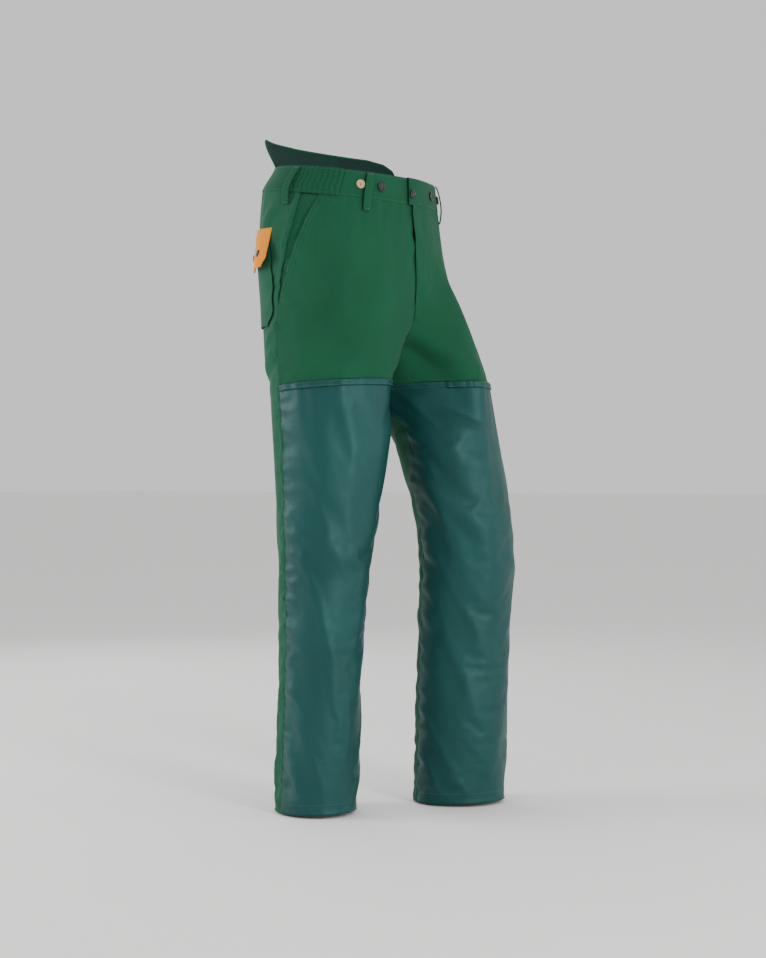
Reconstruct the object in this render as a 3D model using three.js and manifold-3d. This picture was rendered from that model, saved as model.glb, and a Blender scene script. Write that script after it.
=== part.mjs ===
// Chainsaw protective trousers with a padded front, in millimetres.
// +Z is up, the front faces -Y and the wearer's left is +X. The origin is the centre of the waist
// opening, level with the top edge of the waistband. The left leg steps forward, as on a wearer.

import * as THREE from 'three';
import { mergeVertices } from 'three/addons/utils/BufferGeometryUtils.js';
import Module from 'manifold-3d';

const wasm = await Module();
wasm.setup();

// ---------------------------------------------------------------- driving dimensions

const LEFT = 1;
const RIGHT = -1;

const bandHeight = 45; // waistband, from its top edge to the waist seam
const rise = 350; // top edge of the waistband to the crotch seam
const insideLeg = 716; // crotch seam to hem
const thighSeamDrop = 14; // crotch seam down to the seam where the coated leg panel starts

const waistHalfWidth = 156;
const hipHalfWidth = 171;
const thighHalfWidth = 92;
const kneeHalfWidth = 79;
const hemHalfWidth = 72;
const legGap = 42; // centre plane to the inside of each leg at the hem

const gap = 0.3; // clearance between touching layers and between sewn edges
const shell = 1.5; // outer cloth with its turned allowances
const padThickness = 5; // layers of cut-retardant knit
const liningThickness = 1;
const pocketCloth = 1.2;
const bandCloth = 1.5;
const stiffener = 1.2; // canvas or elastic inside the waistband
const bandFacing = 1;
const hemDepth = 28;

const zipLength = 150;
const teethWidth = 1.9; // one half of the closed chain
const teethThickness = 1.8;
const tapeWidth = 15;
const tapeThickness = 0.8;
const sliderPlate = 1.2;
const sliderLength = 11;
const pullLength = 17;
const pullWidth = 6;
const flyEdge = 4; // the fly edge stands this far past the centre line
const flyEdgeTop = 12; // and this far at the waist seam
const flyUnder = 3; // the zip side reaches this far past the centre line behind the fly
const flyLift = 5; // the closed fly stands this far in front of the zip side
const flyFacingWidth = 42;
const chainBehind = 6.6; // middle of the chain behind the face of the zip side

const loopWidth = 12;
const loopDrop = 66; // belt loop, top end to bottom end
const loopStand = 8; // belt space behind a loop
const loopCloth = 1.5;

const buttonRadius = 7.5;
const buttonThickness = 2.8;
const shankRadius = 2.5;
const shankHeight = 1.2;
const studRadius = 6.5;

const collarHeight = 48; // kidney flap above the waistband
const collarLean = 26; // how far its top edge leans out
const collarCloth = 1.5;
const collarLining = 1.2;

const pocketFlapDrop = 63;
const pocketFlapStand = 12; // the front of the flap's lower edge stands off the seat
const pocketFlapBack = 5; // the back of it lies closer
const pocketDrop = 150;

// ---------------------------------------------------------------- levels

const crotch = -rise;
const thighSeam = crotch - thighSeamDrop;
const hem = crotch - insideLeg;
const knee = crotch - 0.377 * insideLeg;
const waistSeam = -bandHeight;
const zipTop = waistSeam - 6;
const zipBottom = zipTop - zipLength;
const flyBottom = zipBottom - 14;
const flyClosed = flyBottom - 25; // both fronts meet edge to edge from here down
const flyFlat = flyBottom - 50; // the fly lies flush from here down

// ---------------------------------------------------------------- form

// Body and leg sections from top to bottom. Each is an ellipse round `centre`; above the crotch the
// two sides run into each other at the centre plane. `back` moves the section back, `left` and
// `right` step a leg forward, `skew` turns the section and `full` squares its inner front corner.
const chart = [
  { z: 60, centre: 0, width: waistHalfWidth - 6, depth: 116, back: -8 },
  { z: 0, centre: 0, width: waistHalfWidth, depth: 123, back: -4 },
  { z: waistSeam, centre: 0, width: hipHalfWidth, depth: 136.5, back: 7 },
  { z: waistSeam - 90, centre: 10, width: hipHalfWidth - 4, depth: 139.5, back: 9, left: 5, right: 2 },
  { z: waistSeam - 180, centre: 34, width: hipHalfWidth - 24, depth: 134, back: 4,
    left: 35, right: 8, full: 0.04 },
  { z: crotch + 45, centre: thighHalfWidth - 18, width: thighHalfWidth + 16, depth: 116, back: 6,
    left: 78, right: 14, full: 0.16 },
  { z: crotch, centre: thighHalfWidth, width: thighHalfWidth, depth: 104, back: 3,
    left: 96, right: 18, full: 0.26 },
  { z: crotch - 70, centre: thighHalfWidth + 7, width: thighHalfWidth - 4, depth: 97,
    left: 113, right: 22, full: 0.18, skew: -2 },
  { z: crotch - 150, centre: thighHalfWidth + 10, width: thighHalfWidth - 7, depth: 92,
    left: 136, right: 25, full: 0.06, skew: -2 },
  { z: knee, centre: kneeHalfWidth + 0.64 * legGap, width: kneeHalfWidth, depth: 82,
    left: 160, right: 21, skew: 1 },
  { z: knee + 0.36 * (hem - knee), centre: hemHalfWidth + 0.9 * legGap, width: hemHalfWidth + 2, depth: 76,
    left: 153, right: 16, skew: 5 },
  { z: knee + 0.7 * (hem - knee), centre: hemHalfWidth + 0.95 * legGap, width: hemHalfWidth + 1, depth: 75,
    left: 147, right: 12, skew: 5 },
  { z: hem, centre: hemHalfWidth + legGap, width: hemHalfWidth, depth: 74, left: 141, right: 8, skew: 5 },
];

const waistSlope = 0.12; // the front of the waist sits lower than the back
const thighSlope = 0.075; // the thigh seam climbs towards the front
const hemSlope = 0.03;

function smooth(t) {
  const u = Math.min(1, Math.max(0, t));
  return u * u * (3 - 2 * u);
}

// One measurement of the chart at height z, on a smooth curve through the chart's rows.
function measure(key, z) {
  const at = (k) => chart[k][key] ?? 0;
  let i = 0;
  while (i < chart.length - 2 && z < chart[i + 1].z) i += 1;
  const slope = (k) => {
    const a = Math.max(0, k - 1);
    const b = Math.min(chart.length - 1, k + 1);
    return (at(b) - at(a)) / (chart[b].z - chart[a].z);
  };
  const span = chart[i + 1].z - chart[i].z;
  const t = (z - chart[i].z) / span;
  const t2 = t * t;
  const t3 = t2 * t;
  return (2 * t3 - 3 * t2 + 1) * at(i) + (t3 - 2 * t2 + t) * slope(i) * span
    + (3 * t2 - 2 * t3) * at(i + 1) + (t3 - t2) * slope(i + 1) * span;
}

// A point of the outer surface. `s` runs round one side: -1 is the inner front edge, 0 the side and 1
// the inner back edge, which are the centre front and centre back lines above the crotch.
function formPoint(side, s, z) {
  const centre = measure('centre', z);
  const width = measure('width', z);
  const depth = measure('depth', z);
  const skew = measure('skew', z);
  const closed = z <= crotch || centre >= width;
  const turn = s * (closed ? Math.PI : Math.acos(-centre / width));
  const corner = Math.max(0, Math.cos(turn + THREE.MathUtils.degToRad(140))) ** 3;
  const x = centre + width * Math.cos(turn) - skew * Math.sin(turn);
  const y = measure('back', z) + depth * Math.sin(turn) * (1 + measure('full', z) * corner)
    - skew * Math.cos(turn);
  const step = measure(side === LEFT ? 'left' : 'right', z);
  const follows = Math.max(smooth(x / 90), smooth((crotch - z) / 90));
  const nearThighSeam = 1 - smooth(Math.abs(z - thighSeam) / 90);
  const lift = waistSlope * y * smooth((z - waistSeam + 115) / 120) - thighSlope * y * nearThighSeam
    - hemSlope * y * smooth((knee - 80 - z) / 350);
  return new THREE.Vector3(side * x, y - step * follows, z + lift);
}

function formNormal(side, s, z) {
  const ds = 0.01;
  const dz = 0.5;
  const across = formPoint(side, s + ds, z).sub(formPoint(side, s - ds, z));
  const down = formPoint(side, s, z - dz).sub(formPoint(side, s, z + dz));
  return across.cross(down).multiplyScalar(-side).normalize();
}

// ---------------------------------------------------------------- net

// The form is faceted on one net that every layer shares, so no two layers cross.
function steps(from, to, count) {
  return Array.from({ length: count }, (_, k) => from + (to - from) * k / count);
}

const columnStep = 0.125;
const columns = Array.from({ length: 21 }, (_, k) => (k - 10) * columnStep);
const rows = [
  ...steps(collarHeight + 4, 0, 3),
  ...steps(0, waistSeam, 1),
  ...steps(waistSeam, flyBottom, 3),
  flyBottom,
  flyClosed,
  ...steps(flyFlat, crotch, 3),
  ...steps(crotch, thighSeam, 1),
  ...steps(thighSeam, knee, 3),
  ...steps(knee, hem, 4),
  hem,
];

const netCache = new Map();

function netCorner(side, column, row) {
  const key = `${side}/${column}/${row}`;
  if (!netCache.has(key)) {
    const s = columns[column];
    const z = rows[row];
    netCache.set(key, { side, s, z, point: formPoint(side, s, z), normal: formNormal(side, s, z) });
  }
  return netCache.get(key);
}

function cross2(a, b, q) {
  return (b.s - a.s) * (q.z - a.z) - (b.z - a.z) * (q.s - a.s);
}

// The part of an outline that lies in one facet.
function clipToFacet(outline, facet) {
  let polygon = outline;
  for (let k = 0; k < 3 && polygon.length > 2; k += 1) {
    const a = facet[k];
    const b = facet[(k + 1) % 3];
    const kept = [];
    polygon.forEach((q, i) => {
      const r = polygon[(i + 1) % polygon.length];
      const dq = cross2(a, b, q);
      const dr = cross2(a, b, r);
      if (dq >= 0) kept.push(q);
      if ((dq >= 0) !== (dr >= 0)) {
        const t = dq / (dq - dr);
        kept.push({ s: q.s + (r.s - q.s) * t, z: q.z + (r.z - q.z) * t });
      }
    });
    polygon = kept;
  }
  return polygon.length > 2 ? polygon : [];
}

function onFacet(facet, q) {
  const whole = cross2(facet[0], facet[1], facet[2]);
  const w0 = cross2(facet[1], facet[2], q) / whole;
  const w1 = cross2(facet[2], facet[0], q) / whole;
  const w2 = 1 - w0 - w1;
  const mix = (key) => new THREE.Vector3()
    .addScaledVector(facet[0][key], w0)
    .addScaledVector(facet[1][key], w1)
    .addScaledVector(facet[2][key], w2);
  return { side: facet[0].side, s: q.s, z: q.z, point: mix('point'), normal: mix('normal') };
}

function facets(side) {
  const list = [];
  for (let i = 0; i < rows.length - 1; i += 1) {
    for (let j = 0; j < columns.length - 1; j += 1) {
      const a = netCorner(side, j, i);
      const b = netCorner(side, j, i + 1);
      const c = netCorner(side, j + 1, i + 1);
      const d = netCorner(side, j + 1, i);
      list.push([a, b, c], [a, c, d]);
    }
  }
  return list;
}

const sideFacets = { [LEFT]: facets(LEFT), [RIGHT]: facets(RIGHT) };

// Cuts an outline of [s, z] points out of one side's net, as triangles of surface points.
function cut(side, points) {
  const outline = points.map(([s, z]) => ({ s, z }));
  const triangles = [];
  for (const facet of sideFacets[side]) {
    const polygon = clipToFacet(outline, facet);
    if (!polygon.length) continue;
    const flat = polygon.map((q) => new THREE.Vector2(q.s * 200, q.z));
    if (Math.abs(THREE.ShapeUtils.area(flat)) < 1e-5) continue;
    const corners = polygon.map((q) => onFacet(facet, q));
    for (const tri of THREE.ShapeUtils.triangulateShape(flat, [])) {
      triangles.push(tri.map((k) => corners[k]));
    }
  }
  return triangles;
}

// Gives cut cloth its thickness: a closed solid between two depths under the surface.
function thicken(triangles, outerDepth, innerDepth) {
  const keys = new Map();
  const corners = [];
  const index = (corner) => {
    const key = corner.point.toArray().map((v) => Math.round(v * 2000)).join();
    if (!keys.has(key)) {
      keys.set(key, corners.length);
      corners.push(corner);
    }
    return keys.get(key);
  };
  const faces = [];
  const edges = new Map();
  for (const triangle of triangles) {
    let ids = triangle.map(index);
    if (new Set(ids).size < 3) continue;
    const [a, b, c] = ids.map((k) => corners[k]);
    const facing = b.point.clone().sub(a.point).cross(c.point.clone().sub(a.point)).dot(a.normal);
    if (facing < 0) ids = [ids[0], ids[2], ids[1]];
    faces.push(ids);
    for (let k = 0; k < 3; k += 1) {
      const from = ids[k];
      const to = ids[(k + 1) % 3];
      if (!edges.delete(`${to},${from}`)) edges.set(`${from},${to}`, [from, to]);
    }
  }
  const depthAt = (depth, corner) => (typeof depth === 'function' ? depth(corner) : depth);
  const place = (depth) => corners.flatMap((corner) => corner.point.clone()
    .addScaledVector(corner.normal, -depthAt(depth, corner)).toArray());
  const count = corners.length;
  const indices = [];
  for (const [a, b, c] of faces) indices.push(a, b, c, a + count, c + count, b + count);
  for (const [a, b] of edges.values()) indices.push(a, a + count, b, b, a + count, b + count);
  const geometry = new THREE.BufferGeometry();
  const positions = [...place(outerDepth), ...place(innerDepth)];
  geometry.setAttribute('position', new THREE.Float32BufferAttribute(positions, 3));
  geometry.setIndex(indices);
  return geometry;
}

function cloth(side, outline, outerDepth, innerDepth) {
  return thicken(cut(side, outline), outerDepth, innerDepth);
}

// How many units of `s` a width in millimetres takes up at a place on the form.
function widthToS(side, s, z, width) {
  return width * 0.02 / formPoint(side, s + 0.01, z).distanceTo(formPoint(side, s - 0.01, z));
}

// A band between two edges, which are functions of height, from `top` to `bottom`.
function strip(top, bottom, innerEdge, outerEdge) {
  const levels = [top, ...rows.filter((z) => z < top - 1 && z > bottom + 1), bottom];
  return [
    ...levels.map((z) => [innerEdge(z), z]),
    ...levels.reverse().map((z) => [outerEdge(z), z]),
  ];
}

// ---------------------------------------------------------------- solids that aren't cloth

function toSolid(geometry) {
  const bare = geometry.clone();
  for (const name of ['normal', 'uv']) bare.deleteAttribute(name);
  const merged = mergeVertices(bare, 1e-4);
  return new wasm.Manifold(new wasm.Mesh({
    numProp: 3,
    vertProperties: merged.attributes.position.array,
    triVerts: new Uint32Array(merged.index.array),
  }));
}

function fromSolid(solid) {
  const mesh = solid.getMesh();
  const geometry = new THREE.BufferGeometry();
  geometry.setAttribute('position', new THREE.Float32BufferAttribute(mesh.vertProperties, 3));
  geometry.setIndex([...mesh.triVerts]);
  return geometry;
}

function block(low, high) {
  const size = high.map((v, k) => v - low[k]);
  const geometry = new THREE.BoxGeometry(...size);
  geometry.translate(...low.map((v, k) => v + size[k] / 2));
  return geometry;
}

// A disc-like solid from its half profile of [radius, height] points, with its axis on +Z.
function turned(profile, segments = 12) {
  const lathe = new THREE.LatheGeometry(profile.map(([r, h]) => new THREE.Vector2(r, h)), segments);
  return lathe.rotateX(Math.PI / 2);
}

// Lays a geometry made round +Z on another piece, on the facet that faces out at a place of the form.
function seat(geometry, ground, side, s, z) {
  const normal = formNormal(side, s, z);
  const start = formPoint(side, s, z).addScaledVector(normal, 60);
  const ray = new THREE.Raycaster(start, normal.clone().negate());
  const [hit] = ray.intersectObject(new THREE.Mesh(ground, new THREE.MeshBasicMaterial()));
  const outward = hit.face.normal;
  const base = hit.point.addScaledVector(outward, gap);
  const across = new THREE.Vector3(0, 0, 1).cross(outward).normalize();
  const up = outward.clone().cross(across);
  geometry.applyMatrix4(new THREE.Matrix4().makeBasis(across, up, outward).setPosition(base));
  return geometry;
}

// ---------------------------------------------------------------- materials and assembly

const looks = {
  twill: new THREE.MeshStandardMaterial({ color: 0x28604b, roughness: 0.9 }),
  coated: new THREE.MeshStandardMaterial({ color: 0x1d4948, roughness: 0.55 }),
  pad: new THREE.MeshStandardMaterial({ color: 0xe8e4d2, roughness: 0.95 }),
  lining: new THREE.MeshStandardMaterial({ color: 0x22382f, roughness: 0.9 }),
  pocketing: new THREE.MeshStandardMaterial({ color: 0x2b3a34, roughness: 0.9 }),
  canvas: new THREE.MeshStandardMaterial({ color: 0xd9d3c0, roughness: 0.95 }),
  elastic: new THREE.MeshStandardMaterial({ color: 0xf0efe9, roughness: 0.9 }),
  orange: new THREE.MeshStandardMaterial({ color: 0xf79f08, roughness: 0.7 }),
  darkButton: new THREE.MeshStandardMaterial({ color: 0x2e302b, roughness: 0.4 }),
  creamButton: new THREE.MeshStandardMaterial({ color: 0xd8cfae, roughness: 0.4 }),
  zipTape: new THREE.MeshStandardMaterial({ color: 0x16211c, roughness: 0.9 }),
  zipMetal: new THREE.MeshStandardMaterial({ color: 0x1b1b1a, roughness: 0.4, metalness: 0.8 }),
  stud: new THREE.MeshStandardMaterial({ color: 0x151515, roughness: 0.35, metalness: 0.8 }),
};

const trousers = new THREE.Group();

function add(name, geometry, look) {
  const mesh = new THREE.Mesh(geometry, looks[look]);
  mesh.name = name;
  trousers.add(mesh);
}

function geometryOf(name) {
  return trousers.getObjectByName(name).geometry;
}

const sideName = { [LEFT]: 'left', [RIGHT]: 'right' };

// ---------------------------------------------------------------- seams

// Edges that butt against each other each give up half of the clearance.
function ease(side, s, z) {
  return widthToS(side, s, z, gap / 2);
}

// Outer seam, in `s`: it starts in front of the side and drifts behind it down the right leg, because
// the pads of both legs reach further round towards the wearer's right.
function outerSeam(side, z) {
  const drift = smooth((waistSeam + 10 - z) / 210);
  const low = side === RIGHT ? 0.1 : 0;
  return -0.12 + (low + 0.12) * drift;
}

// Inner seam of the front, in `s`. On the left leg it runs behind the inside of the leg.
function innerSeam(side, z) {
  if (side === RIGHT) return -1;
  return -1 - 0.18 * smooth((crotch - 20 - z) / 200);
}

// How far the front reaches past the centre line. Beside the slider the zip side is folded back.
function pastCentre(side, z) {
  if (side === LEFT) return flyEdge + (flyEdgeTop - flyEdge) * (1 - smooth((waistSeam - z) / 80));
  const folded = pullWidth / 2 + 5;
  return -folded + (folded + flyUnder) * smooth((waistSeam - 60 - z) / 20);
}

function frontEdge(side, z) {
  const open = 1 - smooth((flyBottom - z) / (flyBottom - flyClosed));
  const past = pastCentre(side, z);
  const seam = innerSeam(side, z);
  return seam + ease(side, seam, z) - widthToS(side, -1, z, past) * open;
}

// The closed fly stands in front of everything on the zip side.
function flyRise(corner) {
  if (corner.side !== LEFT) return 0;
  const across = 1 - (corner.s + 1) / (2 * columnStep);
  const down = (corner.z - flyFlat) / (flyBottom - flyFlat);
  return flyLift * Math.min(1, Math.max(0, across)) * Math.min(1, Math.max(0, down));
}

function layer(depth) {
  return (corner) => depth - flyRise(corner);
}

// ---------------------------------------------------------------- outer panels

const pocketMouthTop = -0.27; // where the slanted pocket mouth leaves the waist seam, in `s`
const pocketMouthBottom = waistSeam - 190;

function pocketMouth(side, z) {
  const t = Math.min(1, Math.max(0, (waistSeam - z) / (waistSeam - pocketMouthBottom)));
  return pocketMouthTop + (outerSeam(side, pocketMouthBottom) - pocketMouthTop) * t;
}

function addPanels(side) {
  const name = sideName[side];
  const easedSeam = (z) => outerSeam(side, z) - ease(side, outerSeam(side, z), z);
  const frontOuter = (z) => Math.min(pocketMouth(side, z), easedSeam(z));
  const top = waistSeam - gap / 2;
  const front = strip(top, thighSeam + gap / 2, (z) => frontEdge(side, z), frontOuter);
  add(`front_panel_${name}`, cloth(side, front, layer(0), layer(shell)), 'twill');

  const legInner = (z) => innerSeam(side, z) + ease(side, innerSeam(side, z), z);
  const leg = strip(thighSeam - gap / 2, hem, legInner, easedSeam);
  add(`leg_panel_${name}`, cloth(side, leg, 0, shell), 'coated');

  const backOuter = (z) => outerSeam(side, z) + ease(side, outerSeam(side, z), z);
  const backInner = (z) => innerSeam(side, z) + 2 - ease(side, innerSeam(side, z) + 2, z);
  const back = strip(top, hem, backInner, backOuter);
  add(`back_panel_${name}`, cloth(side, back, 0, shell), 'twill');
}

// ---------------------------------------------------------------- layers inside the front

const padTop = waistSeam - 105;
const padSeamAllowance = 7;
const liningAllowance = 3;
const facingDepth = shell + gap;
const bagDepth = facingDepth + pocketCloth + gap;
const upperPadDepth = bagDepth + pocketCloth + gap;
const lowerPadDepth = shell + gap;

// The pad lies behind the pocket above the thigh seam and against the leg panel below it.
function padDepth(corner) {
  return corner.z >= crotch - 1 ? upperPadDepth : lowerPadDepth;
}

function innerEdge(side, allowance) {
  return (z) => {
    const seam = innerSeam(side, z);
    const clear = smooth((z - flyFlat + 30) / 30);
    const inset = allowance + (flyFacingWidth + 6 - allowance) * clear;
    return seam + widthToS(side, seam + 0.05, z, inset);
  };
}

function outerEdge(side, allowance) {
  return (z) => outerSeam(side, z) - widthToS(side, outerSeam(side, z), z, allowance);
}

function addInnerLayers(side) {
  const name = sideName[side];
  const padBottom = hem + hemDepth + 6;
  const padOutline = strip(padTop, padBottom, innerEdge(side, padSeamAllowance),
    outerEdge(side, padSeamAllowance));
  const padBack = (corner) => padDepth(corner) + padThickness;
  add(`cut_pad_${name}`, cloth(side, padOutline, padDepth, padBack), 'pad');

  const liningFront = (corner) => padBack(corner) + gap;
  const liningBack = (corner) => padBack(corner) + gap + liningThickness;
  const liningOutline = strip(waistSeam - 8, hem + hemDepth + 2, innerEdge(side, liningAllowance),
    outerEdge(side, liningAllowance));
  add(`lining_${name}`, cloth(side, liningOutline, liningFront, liningBack), 'lining');

  const turnUp = shell + gap;
  const round = [[-1, hem + hemDepth], [-1, hem + gap], [1, hem + gap], [1, hem + hemDepth]];
  add(`hem_facing_${name}`, cloth(side, round, turnUp, turnUp + shell), 'coated');
}

function addSidePocket(side) {
  const name = sideName[side];
  const top = waistSeam - gap / 2;
  const seam = (z) => outerSeam(side, z) - ease(side, outerSeam(side, z), z) * 3;
  const mouthSide = (z) => pocketMouth(side, z) - widthToS(side, pocketMouth(side, z), z, 20);
  const facing = strip(top, pocketMouthBottom - 12, mouthSide, seam);
  add(`side_pocket_facing_${name}`, cloth(side, facing, facingDepth, facingDepth + pocketCloth), 'twill');

  const bagInner = (z) => -0.62 + 0.1 * smooth((waistSeam - z) / 200);
  const bagOuter = (z) => outerSeam(side, z) - widthToS(side, outerSeam(side, z), z, 9);
  const bag = strip(waistSeam - 14, pocketMouthBottom - 55, bagInner, bagOuter);
  add(`side_pocket_bag_${name}`, cloth(side, bag, bagDepth, bagDepth + pocketCloth), 'pocketing');
}

// ---------------------------------------------------------------- waistband

const elasticFrom = -0.41; // elasticated stretch of the waistband, in `s`
const elasticTo = -0.01;
const tabPast = 21; // the buttoned tab reaches this far past the centre line
const underPast = 3; // the button side reaches this far past it, under the tab
const bandOut = -0.6;
const stiffenerDepth = bandOut + bandCloth + gap;
const bandFacingDepth = stiffenerDepth + stiffener + gap;
const bandInside = bandFacingDepth + bandFacing;

function bandPiece(side, from, to, outer, inner) {
  const top = 0;
  const bottom = waistSeam + gap / 2;
  return cloth(side, [[from, top], [from, bottom], [to, bottom], [to, top]], layer(outer), layer(inner));
}

function addWaistband(side) {
  const name = sideName[side];
  const middle = waistSeam / 2;
  const half = widthToS(side, elasticFrom, middle, gap / 2);
  const frontEnd = -1 - widthToS(side, -1, middle, side === LEFT ? tabPast : underPast);
  const centreBack = 1 - widthToS(side, 1, middle, gap / 2);
  const outer = [bandOut, bandOut + bandCloth];
  let front = bandPiece(side, frontEnd, elasticFrom - half, ...outer);
  let facing = bandPiece(side, frontEnd, centreBack, bandFacingDepth, bandInside);
  let canvas = bandPiece(side, frontEnd + 4 * half, elasticFrom - half,
    stiffenerDepth, stiffenerDepth + stiffener);
  if (side === LEFT) {
    const slit = buttonhole();
    front = fromSolid(toSolid(front).subtract(slit));
    canvas = fromSolid(toSolid(canvas).subtract(slit));
    facing = fromSolid(toSolid(facing).subtract(slit));
  }
  add(`waistband_front_${name}`, front, 'twill');
  add(`waistband_side_${name}`, bandPiece(side, elasticFrom + half, elasticTo - half, ...outer), 'twill');
  add(`waistband_back_${name}`, bandPiece(side, elasticTo + half, centreBack, ...outer), 'twill');
  add(`waistband_facing_${name}`, facing, 'lining');
  add(`waistband_canvas_front_${name}`, canvas, 'canvas');
  add(`waist_elastic_${name}`, bandPiece(side, elasticFrom + half, elasticTo - half,
    stiffenerDepth, stiffenerDepth + stiffener), 'elastic');
}

function addBackCanvas() {
  const bottom = waistSeam + gap / 2;
  const from = elasticTo + widthToS(LEFT, 0, bottom, gap);
  const outline = [[from, 0], [from, bottom], [1, bottom], [1, 0]];
  const both = [...cut(LEFT, outline), ...cut(RIGHT, outline)];
  add('waistband_canvas_back', thicken(both, stiffenerDepth, stiffenerDepth + stiffener), 'canvas');
}

const flyButtonX = -14;
const flyButtonZ = waistSeam / 2 - 4;

function centreFrontY(z) {
  return formPoint(LEFT, -1, z).y;
}

// The slit that lets the waist button's shank through the tab.
function buttonhole() {
  const y = centreFrontY(flyButtonZ);
  const drop = waistSlope * y;
  const half = shankRadius + 0.6;
  return toSolid(block([flyButtonX - half, y - 20, flyButtonZ + drop - half],
    [flyButtonX + half, y + 0.4, flyButtonZ + drop + half]));
}

// ---------------------------------------------------------------- kidney flap

const collarEnd = 0.13; // where the flap ends on the left, in `s`
const collarEndRight = 0.42;
const collarFront = 0.4; // depth of its outer face

// The flap leans out, most of all near its foot.
function collarLeanAt(corner) {
  const up = Math.max(0, corner.z) / collarHeight;
  return collarLean * up ** 0.85 * smooth((corner.s - collarEnd + 0.1) / 0.35);
}

function addCollar() {
  const left = [
    [collarEnd, gap], [1, gap], [1, collarHeight], [0.4, collarHeight - 1],
    [0.28, collarHeight - 7], [0.19, collarHeight * 0.62], [0.14, collarHeight * 0.3],
  ];
  const right = [
    [collarEndRight, gap], [1, gap], [1, collarHeight], [0.56, collarHeight],
    [0.5, collarHeight - 3], [0.455, collarHeight - 10], [0.43, collarHeight * 0.55],
  ];
  const both = [...cut(LEFT, left), ...cut(RIGHT, right)];
  const outer = (depth) => (corner) => depth - collarLeanAt(corner);
  const inner = collarFront + collarCloth;
  add('kidney_flap', thicken(both, outer(collarFront), outer(inner)), 'twill');
  const lined = inner + gap;
  add('kidney_flap_lining', thicken(both, outer(lined), outer(lined + collarLining)), 'lining');
}

// ---------------------------------------------------------------- belt loops

const loops = [
  { name: 'front_left', side: LEFT, at: -0.59 },
  { name: 'front_right', side: RIGHT, at: -0.6 },
  { name: 'side_left', side: LEFT, at: 0.01 },
  { name: 'side_right', side: RIGHT, at: -0.01 },
  { name: 'back_left', side: LEFT, at: 0.7 },
  { name: 'back_right', side: RIGHT, at: 0.7 },
];

const loopTop = -1;

// Depth of a loop's inner face: sewn down at both ends, bowed out between them for the belt.
function loopDepth(corner) {
  const t = (loopTop - corner.z) / loopDrop;
  const bow = smooth(t / 0.2) * smooth((1 - t) / 0.2);
  const sewn = bandOut - gap - (bandOut * smooth((waistSeam - corner.z) / 8));
  return sewn - loopStand * bow - flyRise(corner);
}

function cutLoop(side, s, limit = 2) {
  const marks = [0, 0.1, 0.2, 0.8, 0.9, 1].map((t) => loopTop - t * loopDrop);
  const half = widthToS(side, s, waistSeam / 2, loopWidth / 2);
  const edge = Math.min(limit, s + half);
  return marks.slice(1).flatMap((z, k) => (
    cut(side, [[s - half, marks[k]], [s - half, z], [edge, z], [edge, marks[k]]])));
}

function addLoops() {
  const outer = (corner) => loopDepth(corner) - loopCloth;
  for (const { name, side, at } of loops) {
    add(`belt_loop_${name}`, thicken(cutLoop(side, at), outer, loopDepth), 'twill');
  }
  const both = [...cutLoop(LEFT, 1, 1), ...cutLoop(RIGHT, 1, 1)];
  add('belt_loop_back', thicken(both, outer, loopDepth), 'twill');
}

// ---------------------------------------------------------------- buttons and studs

const buttonRound = 0.6;

function button(shank) {
  const top = shank + buttonThickness;
  return turned([
    [0, 0], [shankRadius, 0], [shankRadius, shank], [buttonRadius, shank],
    [buttonRadius, top - buttonRound], [buttonRadius - buttonRound, top], [0, top],
  ]);
}

const buttonLevel = waistSeam / 2;

function addButtons() {
  const braces = [
    { name: 'front_right_outer', on: 'front', side: RIGHT, at: -0.545, look: 'creamButton' },
    { name: 'front_right_inner', on: 'front', side: RIGHT, at: -0.7, look: 'darkButton' },
    { name: 'front_left_outer', on: 'front', side: LEFT, at: -0.455, look: 'darkButton' },
    { name: 'front_left_inner', on: 'front', side: LEFT, at: -0.79, look: 'darkButton' },
    { name: 'back_left', on: 'back', side: LEFT, at: 0.85, look: 'darkButton' },
    { name: 'back_right', on: 'back', side: RIGHT, at: 0.85, look: 'darkButton' },
  ];
  for (const { name, on, side, at, look } of braces) {
    const band = geometryOf(`waistband_${on}_${sideName[side]}`);
    add(`brace_button_${name}`, seat(button(shankHeight), band, side, at, buttonLevel), look);
  }
}

// The waist button is sewn to the button side and stands in front of the tab.
function addFlyButton() {
  const s = -1 + widthToS(RIGHT, -1, flyButtonZ, -flyButtonX);
  const seatY = formPoint(RIGHT, s, flyButtonZ).y + bandOut - gap;
  const tabY = centreFrontY(flyButtonZ) + bandOut - flyLift;
  const geometry = button(seatY - tabY + gap).rotateX(Math.PI / 2);
  geometry.translate(flyButtonX, seatY, flyButtonZ + waistSlope * seatY);
  add('fly_button', geometry, 'darkButton');
}

// ---------------------------------------------------------------- fly and zip

const chainX = -3; // middle of the closed chain
const chainSlot = 0.9; // half of the slot that the slider's bridge runs in
// Middle of the chain, behind the fly and behind the zip side's own edge at either end.
const chainY = Math.max(centreFrontY(waistSeam), centreFrontY(flyBottom)) + chainBehind;
const plateGap = teethThickness / 2 + gap;

function depthAtY(y) {
  return (corner) => (y - corner.point.y) / Math.max(0.5, -corner.normal.y);
}

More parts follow.
